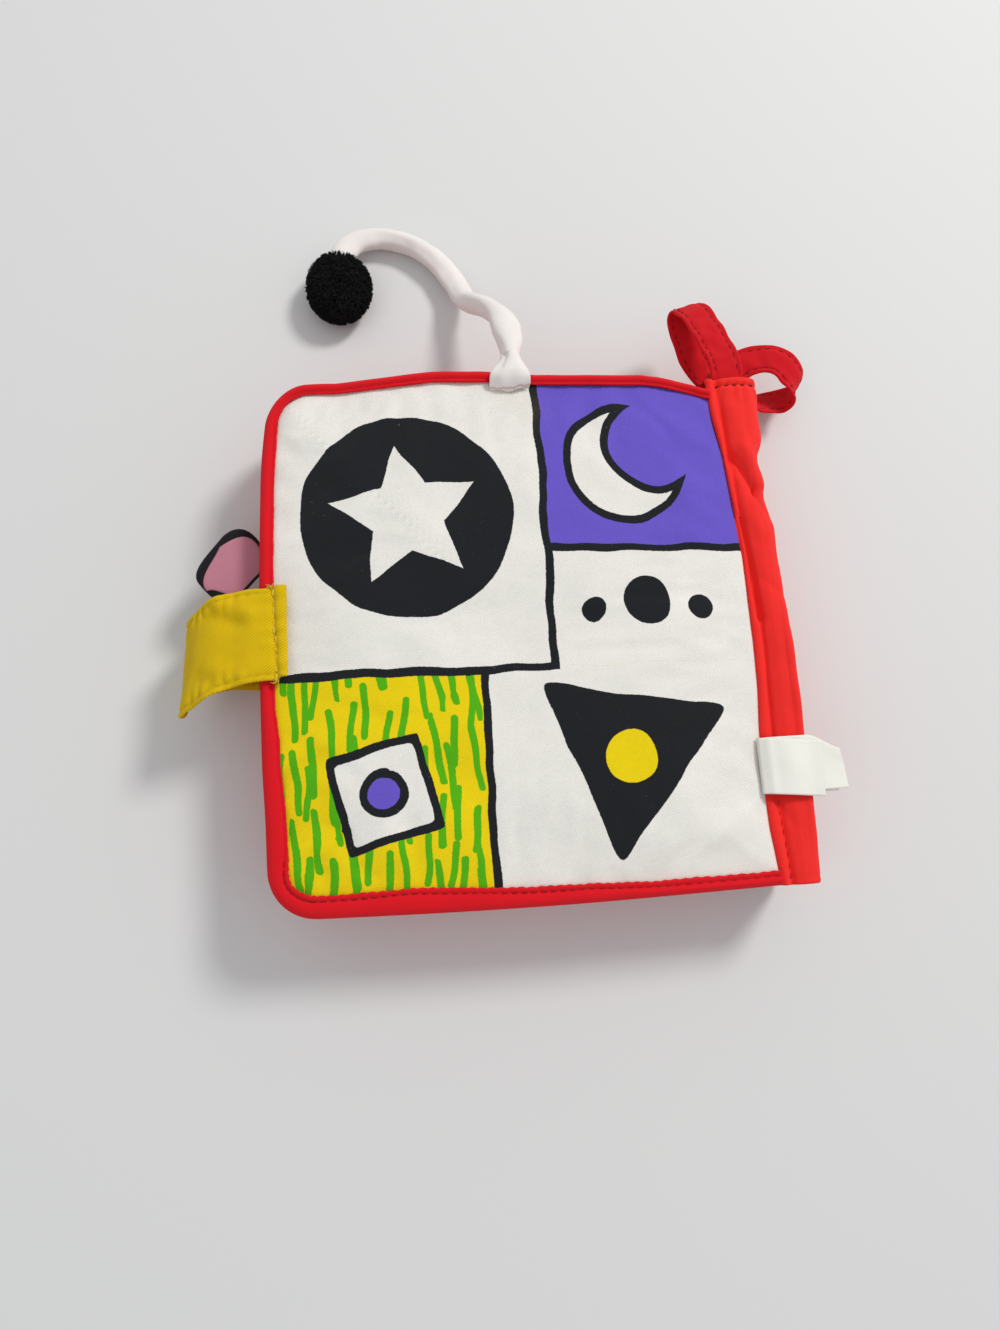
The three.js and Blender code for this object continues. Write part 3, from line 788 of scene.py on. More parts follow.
PAD_X, PAD_Y, PAD_INSET = pad_grid()
PAD_HALF = puff(PAD_INSET) - np.where(PAD_INSET < 2.5, 0.25, 0.0)
PAD_SIDES = [np.stack([PAD_X, PAD_Y, half], -1) for half in (PAD_HALF, -PAD_HALF)]
PAD_POINTS = np.concatenate(PAD_SIDES).reshape(-1, 3)
PAD_FACES = shell_faces(PAD_COLUMNS + 1, PAD_ROWS + 1)
PAD_SHIFT = np.zeros_like(PAD_POINTS)
PAD_SHIFT = simulate_pad(PAD_POINTS, PAD_FACES, PAD_INSET)
BACK_FOLDS = ((0.7, (-66, 22), (-50, 36), 2.4), (-0.5, (-66, 16), (-52, 30), 2.6),
              (0.6, (-66, -36), (-52, -30), 2.0), (-0.5, (-66, -41), (-54, -36), 2.2),
              (-0.6, (-58, -66), (-44, -52), 3.0), (0.5, (52, 40), (66, 52), 2.6),
              (-0.45, (54, 8), (66, 14), 2.6), (0.5, (50, -62), (66, -48), 2.4))


def back_relief(x, y, inset):
    """The wrinkles seen on the back cover, in millimetres."""
    z = 0.55 * wander_over(x, y, 3.0, 34.0) + 0.25 * wander_over(x, y, 9.0, 15.0)
    edge = np.exp(-np.clip(inset - 5, 0, None) / 6.0)
    round_edge = np.arctan2(y, x) * 70
    z += 0.22 * edge * np.sin(round_edge / 1.9 + 1.6 * np.sin(round_edge / 7.0))
    return (z + folds(x, y, BACK_FOLDS)) * ramp(inset, 1.5, 5.0)


def make_pad(leaf, lower_material, upper_material):
    """One padded leaf in place of its two face cloths and its wadding."""
    outer = leaf == "back"
    points = settle(PAD_POINTS, PAD_SHIFT, BACK_CREASE_LIMITS if outer else CREASE_LIMITS)
    points[:, :2] += PAD_SHIFT[:, :2] * 0.4
    x, y, z = axes(points)
    side = np.sign(PAD_POINTS[:, 2])
    if leaf in ("page_1", "front"):
        z -= 0.12 * np.abs(np.sin(x / 7 + y / 11)) * side
    if outer:
        z[:PAD_COUNT] += back_relief(PAD_X, PAD_Y, PAD_INSET).reshape(-1)
    z += LEAF_Z[leaf]
    if outer:
        points = drape(points)
    if leaf == "front":
        over_patch = (np.abs(x - PATCH_X) < 8.2) & (np.abs(y) < 10.7)
        z[:] = np.maximum(z, np.where(over_patch, 0.6, 0.0))
    slots = [int(min(face) >= PAD_COUNT) for face in PAD_FACES]
    flat = drape(PAD_POINTS) if outer else PAD_POINTS
    places = np.stack([flat[:, 0], flat[:, 1], side * 40], 1)
    piece = add_mesh(f"{leaf}_pad", points, PAD_FACES, [upper_material, lower_material], places,
                     face_slots=slots)
    outward(piece)
    subdivide(piece)
    return piece


PADS = {
    "front": ("front_outer_cloth", "front_inner_cloth", "front_wadding"),
    "page_1": ("page_1_lower_cloth", "page_1_upper_cloth", "page_1_wadding"),
    "page_2": ("page_2_lower_cloth", "page_2_upper_cloth", "page_2_wadding"),
    "back": ("back_inner_cloth", "back_outer_cloth", "back_wadding"),
}
COVER_PRINT = cover_print()
PAGE_PRINTS = {
    ("front", "upper"): page_print("page_moon", GREEN, "moon", YELLOW, (-4.0, 0.0)),
    ("page_1", "lower"): page_print("page_star", PURPLE, "star", WHITE, (0.0, -2.0)),
    ("page_1", "upper"): page_print("page_triangle", WHITE, "triangle", GREEN, (0.0, -6.0)),
    ("page_2", "lower"): page_print("page_square", YELLOW, "square", PURPLE, (0.0, 0.0)),
    ("page_2", "upper"): page_print("page_disc", WHITE, "disc", RED_SPINE, (0.0, 0.0)),
    ("back", "lower"): page_print("page_night", PURPLE, "moon", YELLOW, (-4.0, 0.0)),
}
for leaf_name, replaced in PADS.items():
    below, above = (PAGE_PRINTS.get((leaf_name, side), COVER_PRINT) for side in ("lower", "upper"))
    pad = make_pad(leaf_name, below, above)
    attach(pad, LEAF_BODY[leaf_name])
    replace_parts(pad, *replaced)


# ---------------------------------------------------------------- edge binding

STITCH_PITCH = 2.6
BINDING_RED = plain_cloth("binding_red", RED_BINDING, "plain", 0.5, 0.10)
THREAD_RED = plain_cloth("thread_red", srgb(188, 10, 24), "twill", 0.3, 0.0, 0.6)
THREAD_DARK = plain_cloth("thread_dark", srgb(165, 0, 14), "twill", 0.3, 0.0, 0.6)
# How far the binding reaches over the leaf's face, down the fore edge and along the tail edge
FORE_WIDTHS = ([-62, -52, -44, -36, -28, -20, 0, 30, 65, 76],
               [5.8, 5.7, 5.4, 4.8, 4.7, 3.8, 3.7, 3.7, 4.0, 3.7])
TAIL_WIDTHS = ([-64, -56, -45, -30, -15, 1, 17, 33, 48, 70],
               [5.8, 5.9, 6.1, 6.9, 6.2, 5.4, 5.3, 4.4, 4.2, 4.2])


def binding_widths(points):
    """How far the binding reaches over the face: widest along the tail edge."""
    fore = smooth_interp(points[:, 1], FORE_WIDTHS)
    tail_side = smooth_interp(points[:, 0], TAIL_WIDTHS)
    corner = np.exp(-(((points[:, 0] + 71) ** 2 + (points[:, 1] + 71) ** 2) / 7.0 ** 2))
    return fore + (tail_side - fore) * ramp(-points[:, 1], 66, 73) - 0.7 * corner


def stitch_inset(width, low_side):
    return width - 0.7 - 0.8 * low_side


def binding_section(width, s, side_lift, seed, low_side):
    """The folded strip's section at distance s, as pairs of inset and height over the middle."""
    stitch = stitch_inset(width, low_side)
    thread = beat(s, STITCH_PITCH)
    ripple = (0.03 + 0.10 * low_side) * math.sin(TURN * s / STITCH_PITCH + 0.6)
    tip = width + (ripple + 0.25 * wander(s, seed, 0.0, 13.0) + 0.15 * wander(s, seed, 4.0, 4.0))
    insets = np.concatenate([np.linspace(tip, stitch + 0.5, 4),
                             np.linspace(stitch + 0.25, stitch - 0.5, 4),
                             np.linspace(stitch - 1.0, 1.5, 4), [0.95, 0.5, 0.18]])

    def height(n):
        base = float(puff(n)) + 1.02
        crown = 0.55 * math.sin(math.pi * min(max(n / stitch, 0), 1)) * side_lift
        valley = (0.46 - 0.2 * low_side + 0.22 * thread * low_side) * bell(n - stitch, 0.42)
        edge = 0.9 * (1 - min(n / 1.5, 1)) ** 2
        lip = 0.75 * max(0.0, 1 - (tip - n) / 0.45) ** 2
        drift = 0.2 * wander(s, n, seed, 7.0) * side_lift
        return base + crown - valley - edge - lip + drift

    inner = [(tip, float(puff(tip)) + 0.12), (width / 2, float(puff(width / 2)) + 0.1), (1.1, 1.3)]
    return [(n, height(n)) for n in insets] + [(0.0, 0.75)], inner


def make_binding(leaf, step):
    path, inward, along, distance = leaf_outline(step)
    keep = path[:, 0] <= SEAM_X - 1.0
    path, inward, along, distance = path[keep], inward[keep], along[keep], distance[keep]
    z = LEAF_Z[leaf]
    top_lift, low_lift = (1.0 if leaf == outer else 0.15 for outer in ("back", "front"))
    sections, places, seams = [], [], []
    next_stitch = 1.0
    for p, way, forward, s, width in zip(path, inward, along, distance, binding_widths(path)):
        low_side = float(ramp(-p[1], 50, 70))
        top, top_in = binding_section(width, s, top_lift, 3.0, low_side)
        low, low_in = binding_section(width, s + STITCH_PITCH / 2, low_lift, 31.0, low_side)
        loop = top + [(-0.02, 0.0)] + [(n, -h) for n, h in reversed(low)]
        loop += [(n, -h) for n, h in low_in] + [(n, h) for n, h in reversed(top_in)]
        if leaf == "front":
            loop = [(n, max(h, -z + 0.02)) for n, h in loop]
        sections.append([(p[0] + way[0] * n, p[1] + way[1] * n, z + h) for n, h in loop])
        places.append([(s, n if h > 0 else -n, h) for n, h in loop])
        while s >= next_stitch:
            inset = stitch_inset(width, low_side)
            height = float(puff(inset)) + 0.66 + 0.1 * low_side
            for up in ((-1,) if leaf == "back" and low_side < 0.5 else (1, -1)):
                if not (leaf == "front" and up < 0 and height > z - 0.25):
                    seams.append(((p[0] + way[0] * inset, p[1] + way[1] * inset, z + up * height),
                                  (forward[0], forward[1], 0), (0, 0, up)))
            next_stitch += STITCH_PITCH
    if leaf == "back":
        sections = drape(sections)
        seams = [(drape(place), way, up) for place, way, up in seams]
    piece = loft(f"{leaf}_edge_binding", sections, places, BINDING_RED, LEAF_BODY[leaf])
    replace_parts(piece, f"{leaf}_binding")
    stitches(f"{leaf}_binding_stitches", seams, THREAD_RED, LEAF_BODY[leaf], 1.8, 0.17)


for leaf_name in LEAF_Z:
    make_binding(leaf_name, 0.65 if leaf_name == "back" else 1.3)


# ---------------------------------------------------------------- spine cloth

SPINE_RED = plain_cloth("spine_red", RED_SPINE, "plain", 0.42, 0.16)
SEAM_RIDGE_X = 65.4
VALLEY_X = 68.75
STRIP_END_X = 80.0
RIDGE_PROFILE = [(SEAM_RIDGE_X, 26.0), (65.7, 26.75), (66.3, 27.25), (67.0, 27.4), (67.7, 27.2),
                 (68.25, 26.7), (VALLEY_X, 26.1), (69.35, 26.45), (70.6, 27.3), (73.1, 27.75),
                 (75.0, 27.95), (76.8, 27.9), (78.35, 27.85), (79.7, 27.5), (81.2, 26.7),
                 (82.3, 25.3), (82.8, 23.6), (82.85, 21.5), (82.85, 19.0), (82.85, 16.8),
                 (82.85, 14.48)]
HEM_PITCH = 2.5
HEM_Y = 73.7
# How far the strip's outer edge lies in from the straight line: a notch near the head
SPINE_EDGE_SHIFT = ([-75, -69, -53, -24, -10, 2, 19, 29, 34, 38, 43, 47, 50.5, 52.5, 56, 61, 66,
                     71, 76],
                    [-0.2, -0.6, -1.5, -1.9, -1.8, -1, 0.2, 0, 1.3, 2.3, 1.6, 2.4, 3.1, 2.3, 0.4,
                     0.5, 0.5, 0, -0.3])
SPINE_FOLDS = ((-1.5, (70.8, 50), (76.4, 39), 1.6), (0.6, (74.6, 53), (79.4, 42), 1.9),
               (-0.8, (76.4, 39), (80.5, 31), 1.5), (0.6, (73.0, 36), (77.0, 26), 2.2),
               (-1.1, (71.0, 30), (73.6, 0), 1.1), (-0.35, (75.0, 12), (81.0, 7), 1.6),
               (-0.8, (68.6, 68), (69.4, 52), 1.0), (0.5, (72.5, 66), (76.0, 50), 2.4),
               (0.3, (76.0, 20), (79.0, -20), 2.6), (-0.35, (71.0, -52), (75.0, -58), 1.5))


def spine_relief(grid, upper):
    """Height of the folds, the hem and the gathers over the spine cloth's plain form."""
    x, y, z = axes(grid)
    lift = (0.28 * wander_over(x * 1.3 + z, y, 5.0 if upper else 15.0, 9.0)
            + 0.2 * wander_over(x, y * 0.6, 2.0, 22.0)) * ramp(x, 69.5, 72.0)
    if upper:
        lift = lift + folds(x, y, SPINE_FOLDS) * ramp(x, 68.8, 70.2)
    thread = beat(x - 69.4, HEM_PITCH)
    lift = lift + ramp(y, 74.0, 74.8) * (0.1 + 0.12 * (1 - thread) + 0.25 * bell(x - 75, 3.5))
    lift -= (0.25 + 0.55 * thread) * bell(y - HEM_Y, 0.6) * ramp(x, 67.5, 69.0)
    fan = TURN * (75 + (x - 75) * (1 - 0.02 * (HEM_Y - y))) / 3.1
    gather = np.sin(fan + 0.9 * np.sin(x)) * np.exp(-np.clip(HEM_Y - y, 0, None) / 4.5)
    lift += 0.28 * gather * ramp(HEM_Y - y, 0.2, 1.2) * ramp(x, 69.0, 71.0)
    return lift - 0.3 * bell(y + 73.3, 0.4)


def make_spine_half(name, body, upper):
    y_values = np.concatenate([np.linspace(-75.2, 66, 170), np.linspace(66.6, 76.0, 28)])
    line, _ = smooth_line(RIDGE_PROFILE, 52)
    grid = np.zeros((len(line), len(y_values), 3))
    x, y, z = axes(grid)
    x[:], y[:], z[:] = line[:, :1], y_values, line[:, 1:]
    if upper:
        shift = smooth_interp(y, SPINE_EDGE_SHIFT)
        x -= np.maximum(shift, 0) * ramp(x, 73.0, 80.0) * ramp(z, 15.0, 22.0)
        z += 1.1 * np.maximum(-shift, 0) * ramp(x, 78.5, 82.0) * ramp(z, 20.0, 25.0)
        low, crease = smooth_interp(y, SPINE_SEAM) - 0.4, smooth_interp(y, SPINE_CREASE)
        ridge_side = low + (x - SEAM_RIDGE_X) / (VALLEY_X - SEAM_RIDGE_X) * (crease - low)
        strip_side = crease + (x - VALLEY_X) / (STRIP_END_X - VALLEY_X) * (STRIP_END_X - crease)
        moves = (z > 20) & (x < STRIP_END_X)
        x[:] = np.where(moves, np.where(x < VALLEY_X, ridge_side, strip_side), x)
    x -= 0.4 * ramp(y, 70, 76) * ramp(x, 79, 82)
    if upper:
        under_label = ramp(y, -52.5, -50.5) * (1 - ramp(y, -35.5, -33.5))
        z -= 0.6 * under_label * np.clip(1 - np.abs(x - 70.0) / 3.0, 0, 1)
    normal = surface_normals(grid)
    if normal[..., 2].mean() < 0:
        normal = -normal
    places = np.stack([y, np.cumsum(np.full(y.shape, 0.5), axis=0), z], -1)
    relief = spine_relief(grid, upper)[..., None]
    middle = grid + normal * (relief - 0.55)
    middle[..., 0] = np.minimum(middle[..., 0], HINGE_X - 0.56)
    if not upper:
        middle[..., 2] = 2 * HINGE_Z - middle[..., 2]
    piece = sheet_piece(name, middle, 0.5 * edge_taper(*y.shape), SPINE_RED, places, body,
                        up=(0.3, 0, 1 if upper else -1))
    return piece, grid + normal * relief, normal


def make_spine():
    back, outer, normal = make_spine_half("spine_cloth_back", "back_cover", True)
    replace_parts(back, "back_spine_half")
    front, _, _ = make_spine_half("spine_cloth_front", "front_cover", False)
    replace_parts(front, "front_spine_half")

    def spot(row, column, rise, along):
        return outer[row, column] + normal[row, column] * rise, along, normal[row, column]

    column = nearest(outer[0, :, 1], HEM_Y)
    seams = [spot(nearest(outer[:38, column, 0], target), column, 0.16, (1, 0, 0))
             for target in np.arange(69.4, 81.6, HEM_PITCH)]
    stitches("spine_hem_stitches", seams, THREAD_DARK, "back_cover", 1.9, 0.5)
    row = int(np.argmin(outer[:22, 60, 2] + 50 * (np.arange(22) < 8)))
    targets = [target for target in np.arange(-73.0, 71.5, 2.9) if not -52 < target < -34]
    rises = [0.05 if target < -50 else -0.1 for target in targets]
    seams = [spot(row, nearest(outer[row, :, 1], target), rise, (0, 1, 0))
             for target, rise in zip(targets, rises)]
    stitches("spine_seam_stitches", seams, THREAD_RED, "back_cover", 2.0, 0.17)


def make_gutter(leaf, side):
    rows, columns = 20, 60
    t, y = pair_grid(0, 1, rows, -73.2, 73.2, columns)
    x = 65.6 + (81.3 - 65.6) * t
    z = LEAF_Z[leaf] + (HINGE_Z - 0.85 * side - LEAF_Z[leaf]) * (t * t * (3 - 2 * t))
    z = z + 0.12 * np.sin(y / 6.0 + 4 * t) * np.sin(math.pi * t)
    middle, places = np.stack([x, y, z], -1), np.stack([y, x, z], -1)
    piece = sheet_piece(f"{leaf}_gutter_cloth", middle, 0.5 * edge_taper(rows, columns), SPINE_RED,
                        places, leaf, up=(0, 0, 1), smooth=False)
    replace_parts(piece, f"{leaf}_gutter")


make_spine()
make_gutter("page_1", 1)
make_gutter("page_2", -1)


# ---------------------------------------------------------------- closure strap and its patches

STRAP_HINGE_X = -68.6
STRAP_ROOT_Z = 29.762
STRAP_FLAT = 8
STRAP_BEND = 12.931
STRAP_SAG = 1.3
STRAP_LENGTH = 52.62
STRAP_WIDTH = 25.5
STRAP_PITCH = 2.5
STRAP_CLOTH = plain_cloth("strap_twill", STRAP_YELLOW, "twill", 0.74, 0.2, 0.95, 0.02, 0.05, -0.7,
                          0.12)
THREAD_YELLOW = plain_cloth("thread_yellow", srgb(250, 222, 50), "twill", 0.3, 0.0, 0.6)
HOOK_GREY = plain_cloth("hook_pile", srgb(238, 232, 214), "plain", 0.9, 0.05, 0.95, 0.3, 0.35)
# How far the strap lies towards the tail edge, by the distance from its hinge
STRAP_DRIFT = ([-9, -1, 4, 8, 12, 16, 20, 24, 28, 32, 36, 44, 53],
               [0, 0, -0.8, -1.8, -3.3, -5.2, -7.0, -7.8, -6.5, -3.4, 0.3, 3.0, 2.7])
STRAP_FOLDS = ((0.7, (2, 6), (11, 11.5), 2.0), (-0.7, (5, 4), (13, 8.5), 2.2),
               (0.45, (4, -11), (12, -5), 2.0), (-0.4, (8, -12), (16, -6), 1.8))


def strap_point(d, v, inward=0.0):
    """The strap's surface: d is the distance from its hinge, v runs across from -0.5 to 0.5."""
    turned_by = np.clip((d - STRAP_FLAT) / STRAP_BEND, 0, math.pi)
    beyond = np.maximum(d - STRAP_FLAT - math.pi * STRAP_BEND, 0)
    bend = STRAP_BEND - 2.6 * v
    radius = bend - inward
    sag = ramp(d, 0.5, 9.0) * (1 - ramp(d, 30.0, 46.0))
    x = STRAP_HINGE_X - np.minimum(d, STRAP_FLAT) - radius * np.sin(turned_by) + beyond - 0.5 * sag
    z = STRAP_ROOT_Z - bend + radius * np.cos(turned_by) - STRAP_SAG * sag
    y = STRAP_WIDTH * v + smooth_interp(d - 3.0 * (v + 0.5), STRAP_DRIFT)
    return np.stack([x, y, z], -1)


def strap_seam(y):
    """How far along the strap its stitch line lies, which runs a little askew."""
    return -4.85 + 0.04 * y


def make_strap():
    rows, columns = 104, 44
    d, v = pair_grid(-8.1, STRAP_LENGTH, rows, -0.5, 0.5, columns)
    grid = strap_point(d, v)
    y = STRAP_WIDTH * v
    seam = strap_seam(y)
    grid[..., 1] += 0.9 * ramp(seam - d, -0.6, 0.8)
    edge = STRAP_WIDTH / 2 - np.abs(y)
    thread = beat(d, STRAP_PITCH)
    lift = -(0.75 + 0.25 * beat(y + 12.2, 2.6)) * bell(d - seam, 0.7)
    lift += 0.45 * ramp(seam - d, 0.5, 1.3) * (1 - ramp(seam - d, 2.2, 3.4))
    lift -= (0.26 + 0.42 * thread) * bell(edge - 1.5, 0.45) * ramp(d, seam, seam + 1)
    lift += 0.36 * (1 - ramp(edge, 0.3, 1.4)) * (0.3 + 0.7 * thread)
    lift += 0.3 * np.sin(y * 1.35 + 0.8 * np.sin(y * 0.5)) * np.exp(-np.abs(d - seam) / 3.0)
    side = np.sin(d * 0.62 + 1.0 + 0.6 * np.sin(d * 0.23)) * np.exp(-edge / 3.5)
    lift += 0.45 * side * ramp(d, 1, 5)
    small = np.sin(TURN * d / 3.1 + 0.9 * np.sin(d * 0.8)) * np.exp(-np.abs(edge - 2.6) / 1.6)
    lift += 0.32 * small * ramp(d, 1, 4) * (1 - ramp(d, 34, 44))
    lift += folds(d, y, STRAP_FOLDS) + 0.55 * wander_over(d, y, 8.0, 8.0) * ramp(d, 0, 6)
    way = strap_point(d, v, -1.0) - grid
    way = unit(np.where(d[..., None] < 0, np.array([0.0, 0.0, 1.0]), way))
    grid[0, :, 0] += 0.22 * wander_over(y[0] * 3.0, 3.0, 1.0, 1.0)
    outer = grid + way * lift[..., None]
    piece = sheet_piece("strap", outer, 0.62 * edge_taper(rows, columns, 0.45), STRAP_CLOTH,
                        flat_places(d, y), None)
    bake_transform(piece)
    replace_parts(piece, "strap_sewn_end", "closure_strap")
    return outer, way, d, y


def strap_stitches(outer, way, d, y):
    cross, long_fixed, long_free = [], [], []
    for target in np.arange(-12.2, 12.6, 2.6):
        j = nearest(y[0], target)
        i = nearest(d[:, j], strap_seam(target))
        cross.append((outer[i, j] + way[i, j] * 0.85, (0.04, 1, 0), way[i, j]))
    for target in np.arange(-1.0, STRAP_LENGTH - 1.5, STRAP_PITCH):
        i = nearest(d[:, 0], target)
        for aim in (-STRAP_WIDTH / 2 + 1.5, STRAP_WIDTH / 2 - 1.5):
            j = nearest(y[0], aim)
            along = outer[min(i + 1, len(d) - 1), j] - outer[max(i - 1, 0), j]
            for side in (1, -1):
                place = (outer[i, j] + way[i, j] * 0.50 * side, along, way[i, j] * side)
                (long_free if target > 2 else long_fixed).append(place)
    stitches("strap_end_stitches", cross, THREAD_YELLOW, "back_cover", 2.5, 0.46)
    stitches("strap_root_stitches", long_fixed, THREAD_YELLOW, "back_cover", 1.9, 0.15)
    stitches("strap_edge_stitches", long_free, THREAD_YELLOW, "strap", 1.9, 0.15)


def make_frayed_ends():
    """Loose thread ends at the two corners of the strap's cut end."""
    rng = random.Random(4)
    threads = []
    for corner in ((-65.0, 12.9, 30.2), (-63.6, -12.8, 30.0)):
        for _ in range(9):
            along = (rng.uniform(-1, 1), rng.uniform(-1, 1), rng.uniform(-0.1, 0.4))
            shift = np.array([rng.uniform(-0.7, 0.7) for _ in range(3)]) * (1, 1, 0.3)
            threads.append((np.array(corner) + shift, along, (0, 0, 1)))
    stitches("strap_frayed_ends", threads, THREAD_YELLOW, "back_cover", 1.8, 0.11)


def make_patches():
    across = 10 / STRAP_WIDTH
    d, v = pair_grid(STRAP_LENGTH - 19, STRAP_LENGTH - 1, 26, -across, across, 28)
    hook = sheet_piece("hook_pile", strap_point(d, v, 1.28), 0.42 * edge_taper(26, 28, 0.4),
                       HOOK_GREY, flat_places(d, v * STRAP_WIDTH), "strap")
    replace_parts(hook, "hook_patch")
    x, y = pair_grid(PATCH_X - 7.5, PATCH_X + 7.5, 24, -10, 10, 30)
    middle = np.stack([x, y, np.full_like(x, 0.45)], -1)
    loop = sheet_piece("loop_pile", middle, 0.42 * edge_taper(24, 30, 0.4), HOOK_GREY, middle,
                       "front_cover", up=(0, 0, -1))
    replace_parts(loop, "loop_patch")


strap_stitches(*make_strap())
make_frayed_ends()
make_patches()


# ---------------------------------------------------------------- handle

# Along the tape: x, y and z from its root, then the bearing and the tilt of its width in degrees
HANDLE_ROUTE = [[1.2, -11.5, 0, 0, 0], [1.2, -6, 0, 0, 0], [1.2, 0.5, 0, 0, 0],
                [1.1, 3, 0.3, 3, 0], [0.4, 8, 1.1, 9, 0], [-2.4, 16, 0.9, 18, 0],
                [-5.5, 24.8, -0.9, 21, 0],
                [-7.6, 30, -4.4, 22, 0], [-8.2, 28.4, -7.4, 22, 0], [-7, 21.4, -8.2, 22, 0],
                [-4.7, 14.6, -9.4, 30, 0], [-0.6, 10.4, -11.6, 58, 0], [6.4, 11.6, -13.8, 84, 0],
                [14.2, 16, -13.4, 84, 0], [22.3, 16, -11.2, 64, 0], [28.8, 10.8, -11.4, 54, 0],
                [30.4, 6.4, -15.4, 66, -6], [26.8, 4.9, -18.9, 84, -17], [20, 4.4, -18.9, 92, -28],
                [13.2, 6, -16.8, 104, -32], [6.5, 7, -12, 128, -14], [2.4, 5.5, -6, 158, 0],
                [0.6, 3, -2.2, 178, 0], [0.6, 0.5, -1.4, 180, 0], [0.6, -6, -1.4, 180, 0],
                [0.6, -11.5, -1.4, 180, 0]]
HANDLE_ROOT = np.array([72.5, 75.0, 24.4])
HANDLE_WIDTH = 10.5
HANDLE_PITCH = 2.6
HANDLE_RED = plain_cloth("handle_red", srgb(214, 8, 26), "plain", 0.42, 0.2)


def make_handle():
    rows, columns = 210, 19
    line, length = smooth_line(HANDLE_ROUTE, rows)
    centre = line[:, :3] + HANDLE_ROOT
    along = unit(np.gradient(centre, axis=0))
    bearing, tilt = np.radians(line[:, 3:]).T
    level = np.cos(tilt)
    across = np.stack([np.cos(bearing) * level, np.sin(bearing) * level, np.sin(tilt)], 1)
    across = unit(across - along * (across * along).sum(1)[:, None])
    up = unit(np.cross(along, across))
    s, v = pair_grid(0, length, rows, -0.5, 0.5, columns)
    v = v * HANDLE_WIDTH
    edge = HANDLE_WIDTH / 2 - np.abs(v)
    thread = beat(s, HANDLE_PITCH)
    thick = 0.52 - (0.20 + 0.16 * thread) * bell(edge - 1.6, 0.5)
    thick += 0.10 * thread * (1 - ramp(edge, 0.4, 1.5))
    soft = 0.5 * wander_over(s, v, 4.0, 4.2)
    soft += 0.35 * np.sin(s / 1.7 + 1.2 * np.sin(s / 5)) * np.exp(-edge / 2.0)
    middle = centre[:, None] + across[:, None] * v[..., None] + up[:, None] * soft[..., None]
    piece = sheet_piece("handle", middle, thick * edge_taper(rows, columns, 0.5), HANDLE_RED,
                        flat_places(s, v), None)
    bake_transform(piece)
    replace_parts(piece, "handle_tape", "handle_sewn_end_upper", "handle_sewn_end_lower")
    seams = []
    for target in np.arange(17.5, length - 17, HANDLE_PITCH):
        i = nearest(s[:, 0], target)
        for aim in (-HANDLE_WIDTH / 2 + 1.6, HANDLE_WIDTH / 2 - 1.6):
            j = nearest(v[0], aim)
            for side in (1, -1):
                seams.append((middle[i, j] + up[i] * side * 0.36, along[i], up[i] * side))
    stitches("handle_stitches", seams, THREAD_DARK, "handle", 1.9, 0.19)


make_handle()


# ---------------------------------------------------------------- care label

LABEL_SATIN = plain_cloth("label_satin", LABEL, "plain", 0.25, 0.05, 0.55, 0.1, 0.01)
LABEL_WIDTH = 15.5
# The label's leaves from the lowest: the length and how far the end lies towards the tail edge
LABEL_LEAVES = (("label_bottom", 20.4, 0.3), ("label_middle", 23.2, -0.3),
                ("label_top", 16.8, 1.6))


def make_label(name, level, length, drop):
    t, v = pair_grid(0, 1, 48, -0.5, 0.5, 30)
    d = t * length
    lower = level < 2
    end_slant = (1.3 * (0.5 - v) if lower else 1.2 * (v + 0.5)) * ramp(t, 0.3, 1.0)
    x = 68.7 + d + (end_slant - 1.0) * (1 if lower else 0.8)
    corner = 4.4 * ramp(d, length - 9.5, length + 1.0) * ramp(v, -0.1, 0.5) * lower
    y = -42.5 + LABEL_WIDTH * v - drop * t - corner
    z = 27.2 + 0.3 * level + (1.35 + 0.2 * level) * ramp(d, -0.8, 3.0)
    z = z + 0.42 * np.sin((d - 4.0) / 2.6) * ramp(d, 2, 6) * (1 - ramp(d, 12, 17)) * (not lower)
    z = z - 0.15 * ramp(d, 17.0, 24.0) * lower + 0.10 * np.sin(v * 5 + d / 4) * ramp(d, 4, 10)
    places = np.stack([d, v * LABEL_WIDTH, np.full_like(d, level * 5.0)], -1)
    piece = sheet_piece(f"{name}_leaf", np.stack([x, y, z], -1), 0.11, LABEL_SATIN, places, None,
                        up=(0, 0, 1), smooth=False)
    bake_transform(piece)
    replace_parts(piece, name)


for label_level, (leaf_name, *sizes) in enumerate(LABEL_LEAVES):
    make_label(leaf_name, label_level, *sizes)


# ---------------------------------------------------------------- ear

EAR_ROOT_X = -68.9
EAR_LENGTH = 18.9
EAR_LOW_Y = 11.6
EAR_HIGH_Y = 29.0
EAR_BLACK = plain_cloth("ear_black", srgb(24, 23, 27), "plain", 0.5, 0.1)
# Rings from the middle to the edge of a puffed piece: the share of the way out and of the height
PILLOW_RINGS = ((0.0, 1.0), (0.2, 1.0), (0.4, 0.97), (0.6, 0.93), (0.78, 0.86), (0.9, 0.74),
                (0.97, 0.5), (1.0, 0.0))


def bezier(a, b, c, d, count):
    t = np.linspace(0, 1, count, endpoint=False)[:, None]
    a, b, c, d = (np.array(p, float) for p in (a, b, c, d))
    return a * (1 - t) ** 3 + 3 * b * t * (1 - t) ** 2 + 3 * c * t * t * (1 - t) + d * t ** 3


